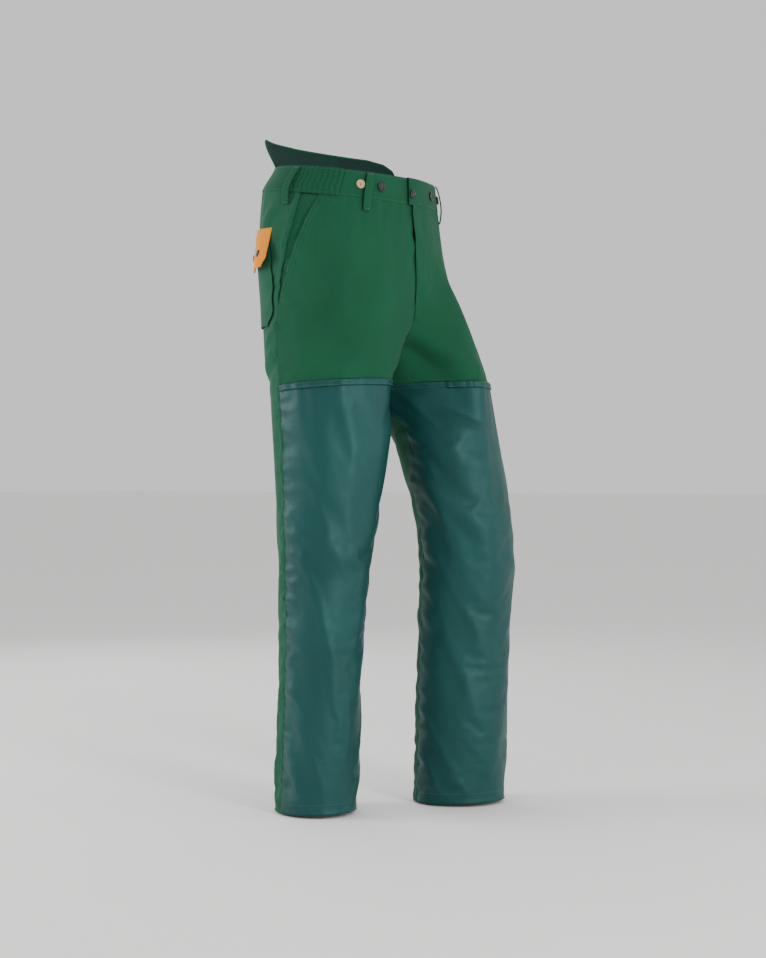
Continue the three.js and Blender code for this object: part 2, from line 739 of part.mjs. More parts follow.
// A zip tape: flat beside the chain, then sewn to the back of its front.
function addTape(side, name) {
  const inner = chainSlot + teethWidth + gap + side * chainX;
  const edge = (width) => (z) => -1 + widthToS(side, -1, z, width);
  const near = edge(inner);
  const marks = [zipTop + 3, ...rows.filter((z) => z < zipTop && z > flyBottom + 2), flyBottom + 2];
  const bend = edge(inner + 0.35 * tapeWidth);
  const far = edge(inner + tapeWidth);
  const sewnDepth = side === LEFT ? shell + gap + pocketCloth + gap : shell + gap;
  const chainDepth = depthAtY(chainY - tapeThickness / 2);
  const flatUntil = (corner) => {
    const across = (corner.s - near(corner.z)) / (far(corner.z) - near(corner.z));
    return smooth((across - 0.36) / 0.5);
  };
  const front = (corner) => {
    const sewn = sewnDepth - flyRise(corner);
    return chainDepth(corner) * (1 - flatUntil(corner)) + sewn * flatUntil(corner);
  };
  const back = (corner) => front(corner) + tapeThickness;
  const ladder = (from, to) => [
    ...marks.map((z) => [from(z), z]),
    ...[...marks].reverse().map((z) => [to(z), z]),
  ];
  const middle = edge(inner + 0.68 * tapeWidth);
  const pieces = [...cut(side, ladder(near, bend)), ...cut(side, ladder(bend, middle)),
    ...cut(side, ladder(middle, far))];
  add(`zip_tape_${name}`, thicken(pieces, front, back), 'zipTape');
}

function zipLevel(z) {
  return z + waistSlope * chainY * smooth((z - waistSeam + 115) / 120);
}

function addZip() {
  for (const side of [LEFT, RIGHT]) {
    const name = sideName[side];
    addTape(side, name);
    const near = chainX + side * chainSlot;
    const far = near + side * teethWidth;
    add(`zip_teeth_${name}`, block(
      [Math.min(near, far), chainY - teethThickness / 2, zipLevel(zipBottom)],
      [Math.max(near, far), chainY + teethThickness / 2, zipLevel(zipTop)]), 'zipMetal');
  }
  add('zip_bottom_stop', block([chainX - 3, chainY - 1.6, zipLevel(zipBottom) - gap - 5],
    [chainX + 3, chainY + 1.2, zipLevel(zipBottom) - gap]), 'zipMetal');
}

const sliderTop = zipLevel(zipTop) - 1;
const sliderBottom = sliderTop - sliderLength;
const sliderHalf = 4.4;
const sliderFront = chainY - plateGap - sliderPlate;
const pullThickness = 1.1;
const pullEye = 1.3; // half width of the slot in the pull
const lugWidth = 1.1;
const pullPivotZ = sliderBottom + 4.5;
const pullPivotY = sliderFront - gap - pullThickness / 2;

// Two plates round the chain, joined by a bridge in the slot, with a lug on each side of the pull's axle.
function addSlider() {
  const front = toSolid(block([chainX - sliderHalf, sliderFront, sliderBottom],
    [chainX + sliderHalf, chainY - plateGap, sliderTop]));
  const back = toSolid(block([chainX - sliderHalf, chainY + plateGap, sliderBottom],
    [chainX + sliderHalf, chainY + plateGap + sliderPlate, sliderTop]));
  const bridge = toSolid(block([chainX - chainSlot + gap, sliderFront + 0.5, sliderTop - 3],
    [chainX + chainSlot - gap, chainY + plateGap + 0.5, sliderTop]));
  let slider = front.add(back).add(bridge);
  for (const lug of [-1, 1]) {
    const near = chainX + lug * (pullWidth / 2 + gap);
    const far = near + lug * lugWidth;
    slider = slider.add(toSolid(block(
      [Math.min(near, far), pullPivotY - 0.7, pullPivotZ - 1.6],
      [Math.max(near, far), sliderFront + 0.5, pullPivotZ + 1.6])));
  }
  add('zip_slider', fromSolid(slider), 'zipMetal');

  const low = pullPivotZ - pullLength;
  const tab = toSolid(block([chainX - pullWidth / 2, pullPivotY - pullThickness / 2, low],
    [chainX + pullWidth / 2, pullPivotY + pullThickness / 2, pullPivotZ + 0.5]));
  const eye = toSolid(block([chainX - pullEye, pullPivotY - 5, low + 2.5],
    [chainX + pullEye, pullPivotY + 5, low + 6]));
  add('zip_pull', fromSolid(tab.subtract(eye)), 'zipMetal');
}

const flyTurn = 10; // the underlap turns forward here, measured from the centre line
const flyPastTape = 22.5;
const flySewn = 30;

function addFly() {
  const innerOf = (z) => frontEdge(LEFT, z) + widthToS(LEFT, -1, z, 1);
  const outerOf = (z) => -1 + widthToS(LEFT, -1, z, flyFacingWidth);
  const facing = strip(waistSeam - gap, flyBottom + 1, innerOf, outerOf);
  add('fly_facing', cloth(LEFT, facing, layer(shell + gap), layer(shell + gap + pocketCloth)), 'twill');

  // The underlap hangs behind the zip from the button side.
  const behind = chainY + plateGap + sliderPlate + 1.2;
  const guard = depthAtY(behind);
  const edge = (width) => (z) => -1 + widthToS(RIGHT, -1, z, width);
  const pastTape = shell + gap + tapeThickness + 2 * gap;
  const sewn = shell + gap;
  const front = (corner) => {
    const across = (width) => (corner.s - edge(width)(corner.z)) / widthToS(RIGHT, -1, corner.z, 1);
    const turned = Math.min(1, Math.max(0, across(flyTurn) / (flyPastTape - flyTurn)));
    const joined = Math.min(1, Math.max(0, across(flyPastTape) / (flySewn - flyPastTape)));
    return (guard(corner) * (1 - turned) + pastTape * turned) * (1 - joined) + sewn * joined;
  };
  const back = (corner) => front(corner) + pocketCloth;
  const bands = [[-22, flyTurn], [flyTurn, flyPastTape], [flyPastTape, flySewn]];
  const pieces = bands.flatMap(([from, to]) => (
    cut(RIGHT, strip(waistSeam - 3, flyBottom + 6, edge(from), edge(to)))));
  add('fly_underlap', thicken(pieces, front, back), 'twill');
}

// ---------------------------------------------------------------- back pocket

const pocketFrom = 0.15;
const pocketTo = 0.6;
const pocketCorner = 0.07; // how far the lower corners are cut off, in `s`
const pocketTop = waistSeam - 68;
const flapTop = pocketTop + 10;
const studs = [0.245, 0.52];
const studLevel = flapTop - 40;

// Inner face of the flap: sewn down along the top, standing off the pocket below.
function flapDepth(corner) {
  const overPocket = smooth((flapTop - 2 - corner.z) / 6);
  const t = (flapTop - corner.z) / pocketFlapDrop;
  const back = smooth((corner.s - pocketFrom) / 0.3);
  const stand = pocketFlapStand + (pocketFlapBack - pocketFlapStand) * back;
  return -gap - (gap + shell) * overPocket - stand * smooth(t * 1.1);
}

function addBackPocket() {
  const bottom = pocketTop - pocketDrop;
  const pocket = [
    [pocketFrom, pocketTop], [pocketTo, pocketTop], [pocketTo, bottom + 22],
    [pocketTo - pocketCorner, bottom], [pocketFrom + pocketCorner, bottom], [pocketFrom, bottom + 22],
  ];
  add('back_pocket', cloth(RIGHT, pocket, -gap - shell, -gap), 'twill');

  const from = pocketFrom - 0.02;
  const to = pocketTo + 0.02;
  const bands = [0, 0.12, 0.3, 0.55, 0.78].map((t) => flapTop - t * pocketFlapDrop);
  const low = flapTop - pocketFlapDrop;
  const flap = bands.slice(1).flatMap((z, k) => (
    cut(RIGHT, [[from, bands[k]], [from, z], [to, z], [to, bands[k]]])));
  const last = bands[bands.length - 1];
  flap.push(...cut(RIGHT, [
    [from, last], [from + pocketCorner, low], [to - pocketCorner, low], [to, last],
  ]));
  const outer = (corner) => flapDepth(corner) - shell;
  add('back_pocket_flap', thicken(flap, outer, flapDepth), 'orange');

  studs.forEach((s, k) => {
    const tag = k === 0 ? 'front' : 'back';
    const cap = turned([
      [0, 0], [studRadius - 0.5, 0], [studRadius, 0.5], [studRadius - 0.8, 1.6], [0, 2],
    ]);
    add(`flap_stud_cap_${tag}`, seat(cap, geometryOf('back_pocket_flap'), RIGHT, s, studLevel), 'stud');
    const socket = turned([[0, 0], [studRadius - 1, 0], [studRadius - 1, 1], [3, 1], [3, 2.6], [0, 2.6]]);
    add(`flap_stud_socket_${tag}`, seat(socket, geometryOf('back_pocket'), RIGHT, s, studLevel), 'stud');
  });
}

// ---------------------------------------------------------------- build

for (const side of [LEFT, RIGHT]) {
  addPanels(side);
  addInnerLayers(side);
  addSidePocket(side);
  addWaistband(side);
}
addBackCanvas();
addCollar();
addLoops();
addButtons();
addFlyButton();
addZip();
addSlider();
addFly();
addBackPocket();

export default trousers;
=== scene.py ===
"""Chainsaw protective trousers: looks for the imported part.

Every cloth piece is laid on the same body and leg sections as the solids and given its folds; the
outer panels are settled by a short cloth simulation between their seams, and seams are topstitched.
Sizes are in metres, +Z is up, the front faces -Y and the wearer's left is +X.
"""

import math
from functools import partial

import bmesh
import bpy
import numpy as np
from mathutils import Matrix, Vector, noise
from mathutils.bvhtree import BVHTree


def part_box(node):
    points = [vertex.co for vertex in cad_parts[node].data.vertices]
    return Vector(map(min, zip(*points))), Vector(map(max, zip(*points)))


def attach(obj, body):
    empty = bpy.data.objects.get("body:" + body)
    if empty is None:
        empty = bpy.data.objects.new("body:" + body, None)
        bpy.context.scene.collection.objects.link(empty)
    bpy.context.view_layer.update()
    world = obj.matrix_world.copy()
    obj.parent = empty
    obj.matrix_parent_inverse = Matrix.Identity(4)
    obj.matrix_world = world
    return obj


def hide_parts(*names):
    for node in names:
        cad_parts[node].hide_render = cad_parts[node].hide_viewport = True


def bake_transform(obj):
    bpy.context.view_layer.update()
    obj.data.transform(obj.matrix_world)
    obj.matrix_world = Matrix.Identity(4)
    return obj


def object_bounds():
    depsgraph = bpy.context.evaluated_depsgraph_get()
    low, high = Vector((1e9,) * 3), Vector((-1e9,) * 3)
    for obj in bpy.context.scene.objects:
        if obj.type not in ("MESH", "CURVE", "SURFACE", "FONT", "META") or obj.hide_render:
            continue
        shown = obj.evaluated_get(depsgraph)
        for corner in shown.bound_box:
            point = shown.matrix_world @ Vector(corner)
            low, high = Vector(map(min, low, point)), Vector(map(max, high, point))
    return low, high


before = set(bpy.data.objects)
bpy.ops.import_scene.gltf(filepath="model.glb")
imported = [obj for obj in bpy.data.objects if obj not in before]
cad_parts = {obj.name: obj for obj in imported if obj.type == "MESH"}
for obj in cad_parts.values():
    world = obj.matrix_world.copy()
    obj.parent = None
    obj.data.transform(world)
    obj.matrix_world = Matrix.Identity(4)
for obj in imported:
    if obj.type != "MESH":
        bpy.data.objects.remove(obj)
cad_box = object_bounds()

bl_info = {
    "name": "Chainsaw protective trousers",
    "version": (1, 0, 0),
    "blender": (4, 5, 0),
    "location": "View3D > Sidebar > Trousers",
    "description": "Makes padded work trousers around a packed frame",
    "category": "Object",
}

LEFT = 1
RIGHT = -1
SIDE_NAME = {LEFT: "left", RIGHT: "right"}
MM = 0.001
POCKET_MOUTH = 0.190  # height of the slanted side pocket's mouth
HEM_STITCH = 0.017  # height of the row that holds the turned-up hem
PAD_DEPTH = (0.0090, 0.0062)  # of the pads' outer face, above and below the crotch
LINING_DEPTH = (0.0145, 0.0117)


# ---------------------------------------------------------------- colours and sizes


def linear(hex_colour):
    """A linear colour from an sRGB hex value."""
    channels = [int(hex_colour[i : i + 2], 16) / 255 for i in (0, 2, 4)]
    return tuple(
        c / 12.92 if c <= 0.04045 else ((c + 0.055) / 1.055) ** 2.4 for c in channels
    )


def length(name, default, description):
    return bpy.props.FloatProperty(
        name=name, default=default, min=0, unit="LENGTH", description=description
    )


def colour(name, hex_colour, description):
    return bpy.props.FloatVectorProperty(
        name=name,
        subtype="COLOR",
        size=3,
        min=0,
        max=1,
        default=linear(hex_colour),
        description=description,
    )


class TrousersSizes(bpy.types.PropertyGroup):
    band_height: length("Waistband height", 0.045, "Top edge to the waist seam")
    rise: length("Rise", 0.350, "Top edge of the waistband to the crotch seam")
    inside_leg: length("Inside leg", 0.716, "Crotch seam to hem")
    thigh_seam_drop: length("Thigh seam drop", 0.014, "Crotch seam to the coated leg panel")
    waist_half: length("Waist half width", 0.156, "Half width at the waistband's top edge")
    hip_half: length("Hip half width", 0.171, "Half width at the waist seam")
    thigh_half: length("Thigh half width", 0.092, "Half width of a leg at the crotch")
    knee_half: length("Knee half width", 0.079, "Half width of a leg at the knee")
    hem_half: length("Hem half width", 0.072, "Half width of a leg at the hem")
    leg_gap: length("Leg gap", 0.042, "Centre plane to the inside of each leg at the hem")
    cloth: length("Cloth thickness", 0.0009, "Outer cloth")
    pad: length("Pad thickness", 0.005, "Quilted cut-retardant pad")
    pitch: length("Cloth grid", 0.0065, "Distance between the threads that are modelled")
    collar_height: length("Kidney flap height", 0.048, "Height above the waistband")
    collar_lean: length("Kidney flap lean", 0.026, "How far its top edge leans out")
    loop_width: length("Belt loop width", 0.012, "Width of a belt loop")
    loop_drop: length("Belt loop length", 0.066, "Top end to bottom end")
    loop_stand: length("Belt loop stand", 0.008, "Room for a belt behind a loop")
    zip_length: length("Zip length", 0.150, "Length of the zip's chain")
    hem_depth: length("Hem depth", 0.028, "Turned-up hem inside each leg")
    stitch: length("Stitch length", 0.0032, "One stitch of the topstitching")
    stitch_gap: length("Stitch gap", 0.0012, "Gap between two stitches")
    thread: length("Thread width", 0.0007, "Width of a topstitch")


class TrousersColours(bpy.types.PropertyGroup):
    twill: colour("Green twill", "0f4830", "Fronts, waistband and loops")
    seat_twill: colour("Seat twill", "164c36", "Back panels, a little faded")
    coated: colour("Coated nylon", "0d3735", "Leg panels")
    orange: colour("Orange twill", "e08600", "Back pocket flap")
    inside: colour("Lining", "14302a", "Lining and facings")
    pocketing: colour("Pocketing", "2b3a34", "Pocket bags")
    pad: colour("Pad knit", "e8e4d2", "Cut-retardant pads")
    canvas: colour("Canvas", "d9d3c0", "Waistband stiffener")
    elastic: colour("Elastic", "f0efe9", "Waistband elastic")
    dark_button: colour("Dark buttons", "0f110e", "Moulded buttons")
    cream_button: colour("Cream button", "a4905f", "The odd button")
    metal: colour("Lacquered metal", "1b1b1a", "Zip and press studs")
    thread: colour("Green thread", "1d5a40", "Topstitching")
    brown_thread: colour("Brown thread", "5a3a22", "Thread that sews the cream button on")
    floor: colour("Floor", "f4f4f2", "Studio floor")


# ---------------------------------------------------------------- body and leg sections


def smooth(t):
    u = np.clip(t, 0.0, 1.0)
    return u * u * (3 - 2 * u)


class Form:
    """The outer surface of the trousers. `s` runs round one side: -1 is the inner front edge,
    0 the side and 1 the inner back edge."""

    KEYS = ("centre", "width", "depth", "back", "left", "right", "full", "skew")

    def __init__(self, sizes):
        self.sizes = sizes
        self.waist_seam = -sizes.band_height
        self.crotch = -sizes.rise
        self.thigh_seam = self.crotch - sizes.thigh_seam_drop
        self.hem = self.crotch - sizes.inside_leg
        self.knee = self.crotch - 0.377 * sizes.inside_leg
        self.zip_top = self.waist_seam - 0.006
        self.zip_bottom = self.zip_top - sizes.zip_length
        self.fly_bottom = self.zip_bottom - 0.014
        self.fly_closed = self.fly_bottom - 0.025
        self.fly_flat = self.fly_bottom - 0.050
        waist, hip, thigh = sizes.waist_half, sizes.hip_half, sizes.thigh_half
        calf = self.knee + 0.36 * (self.hem - self.knee)
        ankle = self.knee + 0.7 * (self.hem - self.knee)
        gap = sizes.leg_gap
        # height, centre, half width, half depth, back, left step, right step, full corner, skew
        rows = [
            (0.060, 0, waist - 0.006, 0.116, -0.008, 0, 0, 0, 0),
            (0.0, 0, waist, 0.123, -0.004, 0, 0, 0, 0),
            (self.waist_seam, 0, hip, 0.1365, 0.007, 0, 0, 0, 0),
            (self.waist_seam - 0.090, 0.010, hip - 0.004, 0.1395, 0.009, 0.005, 0.002, 0, 0),
            (self.waist_seam - 0.180, 0.034, hip - 0.024, 0.134, 0.004, 0.035, 0.008, 0.04, 0),
            (self.crotch + 0.045, thigh - 0.018, thigh + 0.016, 0.116, 0.006, 0.078, 0.014, 0.16, 0),
            (self.crotch, thigh, thigh, 0.104, 0.003, 0.096, 0.018, 0.26, 0),
            (self.crotch - 0.070, thigh + 0.007, thigh - 0.004, 0.097, 0, 0.113, 0.022, 0.18, -0.002),
            (self.crotch - 0.150, thigh + 0.010, thigh - 0.007, 0.092, 0, 0.136, 0.025, 0.06, -0.002),
            (self.knee, sizes.knee_half + 0.64 * gap, sizes.knee_half, 0.082, 0, 0.160, 0.021, 0, 0.001),
            (calf, sizes.hem_half + 0.9 * gap, sizes.hem_half + 0.002, 0.076, 0, 0.153, 0.016, 0, 0.005),
            (ankle, sizes.hem_half + 0.95 * gap, sizes.hem_half + 0.001, 0.075, 0, 0.147, 0.012, 0, 0.005),
            (self.hem, sizes.hem_half + gap, sizes.hem_half, 0.074, 0, 0.141, 0.008, 0, 0.005),
        ]
        table = np.array(rows, float)
        self.levels = table[:, 0]
        self.chart = {key: table[:, k + 1] for k, key in enumerate(self.KEYS)}

    def measure(self, key, z):
        """One measurement of the chart at the heights z, on a smooth curve through its rows."""
        values, levels = self.chart[key], self.levels
        last = len(levels) - 1
        i = np.clip(np.searchsorted(-levels, -z, side="left") - 1, 0, last - 1)
        before, after = np.maximum(i - 1, 0), np.minimum(i + 2, last)
        span = levels[i + 1] - levels[i]
        slope_here = (values[i + 1] - values[before]) / (levels[i + 1] - levels[before])
        slope_next = (values[after] - values[i]) / (levels[after] - levels[i])
        t = (z - levels[i]) / span
        return (
            (2 * t**3 - 3 * t**2 + 1) * values[i]
            + (t**3 - 2 * t**2 + t) * slope_here * span
            + (3 * t**2 - 2 * t**3) * values[i + 1]
            + (t**3 - t**2) * slope_next * span
        )

    def point(self, side, s, z):
        s, z = np.broadcast_arrays(np.asarray(s, float), np.asarray(z, float))
        centre, width = self.measure("centre", z), self.measure("width", z)
        depth, skew = self.measure("depth", z), self.measure("skew", z)
        closed = (z <= self.crotch) | (centre >= width)
        turn = s * np.where(closed, math.pi, np.arccos(np.clip(-centre / width, -1, 1)))
        corner = np.maximum(0, np.cos(turn + math.radians(140))) ** 3
        x = centre + width * np.cos(turn) - skew * np.sin(turn)
        y = (
            self.measure("back", z)
            + depth * np.sin(turn) * (1 + self.measure("full", z) * corner)
            - skew * np.cos(turn)
        )
        step = self.measure("left" if side == LEFT else "right", z)
        follows = np.maximum(smooth(x / 0.090), smooth((self.crotch - z) / 0.090))
        near_seam = 1 - smooth(np.abs(z - self.thigh_seam) / 0.090)
        lift = (
            0.12 * y * smooth((z - self.waist_seam + 0.115) / 0.120)
            - 0.075 * y * near_seam
            - 0.03 * y * smooth((self.knee - 0.080 - z) / 0.350)
        )
        return np.stack([side * x, y - step * follows, z + lift], axis=-1)

    def normal(self, side, s, z):
        across = self.point(side, s + 0.01, z) - self.point(side, s - 0.01, z)
        down = self.point(side, s, z - MM / 2) - self.point(side, s, z + MM / 2)
        out = -side * np.cross(across, down)
        return out / np.linalg.norm(out, axis=-1, keepdims=True)

    def to_s(self, side, s, z, width):
        """How many units of `s` a width in metres takes up."""
        reach = self.point(side, s + 0.01, z) - self.point(side, s - 0.01, z)
        return width * 0.02 / np.linalg.norm(reach, axis=-1)

    # seams, in `s`, at the heights z

    def outer_seam(self, side, z):
        drift = smooth((self.waist_seam + 0.010 - z) / 0.210)
        return -0.12 + ((0.1 if side == RIGHT else 0) + 0.12) * drift

    def inner_seam(self, side, z):
        turned = 0.18 * smooth((self.crotch - 0.020 - z) / 0.200)
        return -1 - (turned if side == LEFT else 0 * turned)

    def front_edge(self, side, z):
        still_open = 1 - smooth((self.fly_bottom - z) / (self.fly_bottom - self.fly_closed))
        if side == LEFT:
            past = 0.004 + 0.008 * (1 - smooth((self.waist_seam - z) / 0.080))
        else:
            past = -0.008 + 0.011 * smooth((self.waist_seam - 0.060 - z) / 0.020)
        return self.inner_seam(side, z) - self.to_s(side, -1, z, past) * still_open

    def pocket_mouth(self, side, z):
        bottom = self.waist_seam - POCKET_MOUTH
        t = np.clip((self.waist_seam - z) / POCKET_MOUTH, 0, 1)
        return -0.27 + (self.outer_seam(side, bottom) + 0.27) * t

    def fly_rise(self, side, s, z):
        """The closed fly stands in front of everything on the zip side."""
        if side == RIGHT:
            return 0 * s
        across = np.clip(1 - (s + 1) / 0.25, 0, 1)
        down = np.clip((z - self.fly_flat) / 0.050, 0, 1)
        return 0.005 * across * down


# Soft folds of the outer cloth: side, start and end in (s, z), half width, height.
FOLDS = [
    (LEFT, (-0.97, -0.296), (-0.66, -0.352), 0.011, -0.0060),
    (LEFT, (-0.95, -0.276), (-0.60, -0.330), 0.014, 0.0050),
    (LEFT, (-0.98, -0.322), (-0.78, -0.352), 0.012, 0.0030),
    (LEFT, (-0.80, -0.150), (-0.55, -0.290), 0.022, 0.0035),
    (RIGHT, (-0.98, -0.300), (-0.72, -0.345), 0.012, 0.0040),
    (RIGHT, (-0.97, -0.320), (-0.78, -0.355), 0.009, -0.0035),
    (RIGHT, (-0.55, -0.120), (-0.20, -0.260), 0.026, 0.0040),
    (RIGHT, (-0.70, -0.200), (-0.40, -0.330), 0.024, 0.0030),
    (RIGHT, (0.02, -0.060), (0.30, -0.100), 0.010, 0.0030),
    (RIGHT, (0.04, -0.078), (0.34, -0.128), 0.008, -0.0028),
    (RIGHT, (0.03, -0.096), (0.30, -0.160), 0.010, 0.0026),
    (RIGHT, (-0.10, -0.060), (0.05, -0.150), 0.010, 0.0030),
    (RIGHT, (0.06, -0.250), (0.30, -0.300), 0.012, 0.0030),
    (RIGHT, (0.10, -0.290), (0.36, -0.335), 0.012, 0.0030),
    (RIGHT, (0.12, -0.320), (0.36, -0.350), 0.008, -0.0025),
    (RIGHT, (-0.90, -0.420), (-0.45, -0.470), 0.020, 0.0030),
    (RIGHT, (-0.90, -0.560), (-0.55, -0.600), 0.022, 0.0025),
    (RIGHT, (0.05, -0.590), (-0.35, -0.640), 0.018, 0.0030),
    (RIGHT, (0.05, -0.660), (-0.30, -0.680), 0.016, -0.0020),
    (LEFT, (-0.95, -0.450), (-0.60, -0.500), 0.018, 0.0035),
    (LEFT, (-1.05, -0.500), (-0.70, -0.560), 0.018, -0.0025),
    (LEFT, (-1.00, -0.540), (-0.65, -0.600), 0.018, 0.0030),
    (LEFT, (-0.55, -0.640), (-0.20, -0.680), 0.020, 0.0025),
]


def puckers(position, distance, reach, pitch, seed):
    """Small ripples that run off a seam: `position` is along it and `distance` away from it."""
    values = np.empty(len(position))
    for k, (along, away) in enumerate(zip(position, distance)):
        values[k] = noise.noise(Vector((along / pitch, away / (3 * pitch), seed)))
    return values * np.exp(-((distance / reach) ** 2))


def relief(form, side, s, z):
    """How far the cloth stands out from the sections, in metres."""
    spot = form.point(side, s, z)
    height = np.zeros(len(s))
    for fold_side, start, end, half, rise in FOLDS:
        if fold_side != side:
            continue
        a = form.point(side, start[0], start[1])
        b = form.point(side, end[0], end[1])
        run = b - a
        t = np.clip((spot - a) @ run / (run @ run), 0, 1)
        away = np.linalg.norm(spot - a - t[:, None] * run, axis=1)
        fade = np.sin(np.pi * np.clip(0.12 + 0.76 * t, 0, 1))
        height += 2.0 * rise * fade * np.exp(-((away / half) ** 2))
    scale = np.linalg.norm(form.point(side, s + 0.005, z) - form.point(side, s - 0.005, z), axis=1) / 0.01
    legs = smooth((form.waist_seam - z) / 0.080)
    outer = np.abs(s - form.outer_seam(side, z)) * scale
    height += 0.0062 * puckers(z, outer, 0.030, 0.015, 3.0 + side) * legs
    inner_s = form.inner_seam(side, z)
    inner = np.minimum(np.abs(s - inner_s), np.abs(s - inner_s - 2)) * scale
    below = smooth((form.fly_closed - z) / 0.060)
    height += 0.0062 * puckers(z, inner, 0.028, 0.016, 7.0 + side) * below
    thigh = np.abs(z - form.thigh_seam)
    gathers = puckers(s * scale, thigh, 0.024, 0.018, 11.0 + side)
    height += 0.0030 * gathers
    height += 0.0036 * puckers(s * scale, np.abs(z - form.waist_seam), 0.016, 0.012, 17.0 + side)
    height += 0.0032 * puckers(s * scale, np.abs(z - form.hem - 0.016), 0.012, 0.012, 23.0 + side)
    return height


# ---------------------------------------------------------------- laying and settling cloth


class Laid:
    """A finished cloth mesh and what its maker needs to know about it."""

    def __init__(self, obj, flat, area, edge, normals):
        self.obj = obj
        self.flat = flat
        self.area = area
        self.edge = edge
        self.normals = normals


def graded(count, step, total):
    """Positions from 0 to 1 that lie close together near both ends."""
    edge = [0, 1.2 * MM / total, 3 * MM / total, 6 * MM / total]
    middle = np.linspace(edge[-1], 1 - edge[-1], max(2, count - 5))
    return np.concatenate([edge[:-1], middle, [1 - e for e in reversed(edge[:-1])]])


def lay(name, form, side_of, s_of, z_of, depth_of, size, pitch, even=False):
    """Lays a grid of cloth on the form. `s_of`, `z_of` and `depth_of` are functions of u and v,
    which run from 0 to 1 across and down the piece; `size` is its rough width and length."""
    across = max(3, round(size[0] / pitch))
    down = max(3, round(size[1] / pitch))
    columns = np.linspace(0, 1, across + 1) if even else graded(across + 1, pitch, size[0])
    rows = np.linspace(0, 1, down + 1)
    bm = bmesh.new()
    bmesh.ops.create_grid(bm, x_segments=len(columns) - 1, y_segments=len(rows) - 1, size=0.5)
    place = np.array([vertex.co for vertex in bm.verts])
    i = np.rint((place[:, 0] + 0.5) * (len(columns) - 1)).astype(int)
    j = np.rint((0.5 - place[:, 1]) * (len(rows) - 1)).astype(int)
    u, v = columns[i], rows[j]
    s, z = s_of(u, v), z_of(u, v)
    sides = side_of(u, v) if callable(side_of) else np.full(len(u), side_of)
    points, normals = np.empty((len(u), 3)), np.empty((len(u), 3))
    for side in (LEFT, RIGHT):
        here = sides == side
        if here.any():
            points[here] = form.point(side, s[here], z[here])
            normals[here] = form.normal(side, s[here], z[here])
    points = points - normals * depth_of(u, v, s, z)[:, None]
    mesh = bpy.data.meshes.new(name)
    bm.to_mesh(mesh)
    bm.free()
    mesh.vertices.foreach_set("co", points.ravel())
    mesh.update()
    facing = sum(polygon.normal.dot(Vector(normals[polygon.vertices[0]])) for polygon in mesh.polygons)
    if facing < 0:
        mesh.flip_normals()
    # the cloth's own map, in metres of thread
    grid = np.empty((len(columns), len(rows)), int)
    grid[i, j] = np.arange(len(u))
    laid_out = points[grid]
    warp = np.cumsum(np.pad(np.linalg.norm(np.diff(laid_out, axis=1), axis=2), ((0, 0), (1, 0))), axis=1)
    weft = np.cumsum(np.pad(np.linalg.norm(np.diff(laid_out, axis=0), axis=2), ((1, 0), (0, 0))), axis=0)
    weft = weft - weft[len(columns) // 2][None, :]
    layout = mesh.uv_layers.new(name="cloth")
    corners = np.empty(len(mesh.loops), int)
    mesh.loops.foreach_get("vertex_index", corners)
    flat_map = np.stack([weft[i, j], -warp[i, j]], axis=1)[corners]
    layout.data.foreach_set("uv", flat_map.ravel())
    for polygon in mesh.polygons:
        polygon.use_smooth = True
    obj = bpy.data.objects.new(name, mesh)
    bpy.context.scene.collection.objects.link(obj)
    widths = np.ptp(weft, axis=0)
    flat = (float(widths.max()), float(warp[:, -1].max()))
    area = min(sum(polygon.area for polygon in mesh.polygons), flat[0] * flat[1])
    edge = (u < 1e-6) | (u > 1 - 1e-6) | (v < 1e-6) | (v > 1 - 1e-6)
    return Laid(obj, flat, area, edge, normals)


def downwards(top, bottom):
    """Heights for a piece that runs from one level down to another."""
    return lambda u, v: top + (bottom - top) * v


def between(near, far, z_of):
    """Places in `s` for a piece that reaches from one edge to the other at every height."""

    def s_of(u, v):
        z = z_of(u, v)
        return near(z) + (far(z) - near(z)) * u

    return s_of


def beside(form, side, edge, width):
    """The line at a width in metres from an edge; a width below 0 lies nearer the front."""
    return lambda z: edge(z) + form.to_s(side, edge(z), z, width)


def settle(laid, swell, inward, outward, frames=12):
    """Lets the cloth buckle a little between its seams, as cloth that is longer than its seam
    does. The seams are pinned, and a limit holds each point near where it was laid."""
    obj = laid.obj
    count = len(obj.data.vertices)
    start = np.empty(count * 3)
    obj.data.vertices.foreach_get("co", start)
    start = start.reshape(-1, 3)
    group = obj.vertex_groups.new(name="seams")
    for index in range(count):
        group.add([index], 1.0 if laid.edge[index] else 0.12, "REPLACE")
    cloth = obj.modifiers.new("settle", "CLOTH")
    settings = cloth.settings
    settings.quality = 4
    settings.mass = 0.25
    settings.tension_stiffness = 25
    settings.compression_stiffness = 25
    settings.shear_stiffness = 12
    settings.bending_stiffness = 0.6
    settings.vertex_group_mass = "seams"
    settings.pin_stiffness = 0.6
    settings.shrink_min = -swell
    settings.effector_weights.gravity = 0.4
    cloth.collision_settings.use_collision = False
    cloth.point_cache.frame_start = 1
    cloth.point_cache.frame_end = frames
    scene = bpy.context.scene
    for number in range(1, frames + 1):
        scene.frame_set(number)
    shape = obj.evaluated_get(bpy.context.evaluated_depsgraph_get()).data
    end = np.empty(count * 3)
    shape.vertices.foreach_get("co", end)
    moved = end.reshape(-1, 3) - start
    out = (moved * laid.normals).sum(axis=1)
    kept = np.clip(out, -inward, outward)
    moved = moved + (kept - out)[:, None] * laid.normals
    reach = np.linalg.norm(moved, axis=1, keepdims=True)
    moved *= np.minimum(1, outward / np.maximum(reach, 1e-9))
    obj.modifiers.remove(cloth)
    obj.vertex_groups.remove(group)
    obj.data.vertices.foreach_set("co", (start + moved).ravel())
    obj.data.update()
    scene.frame_set(1)


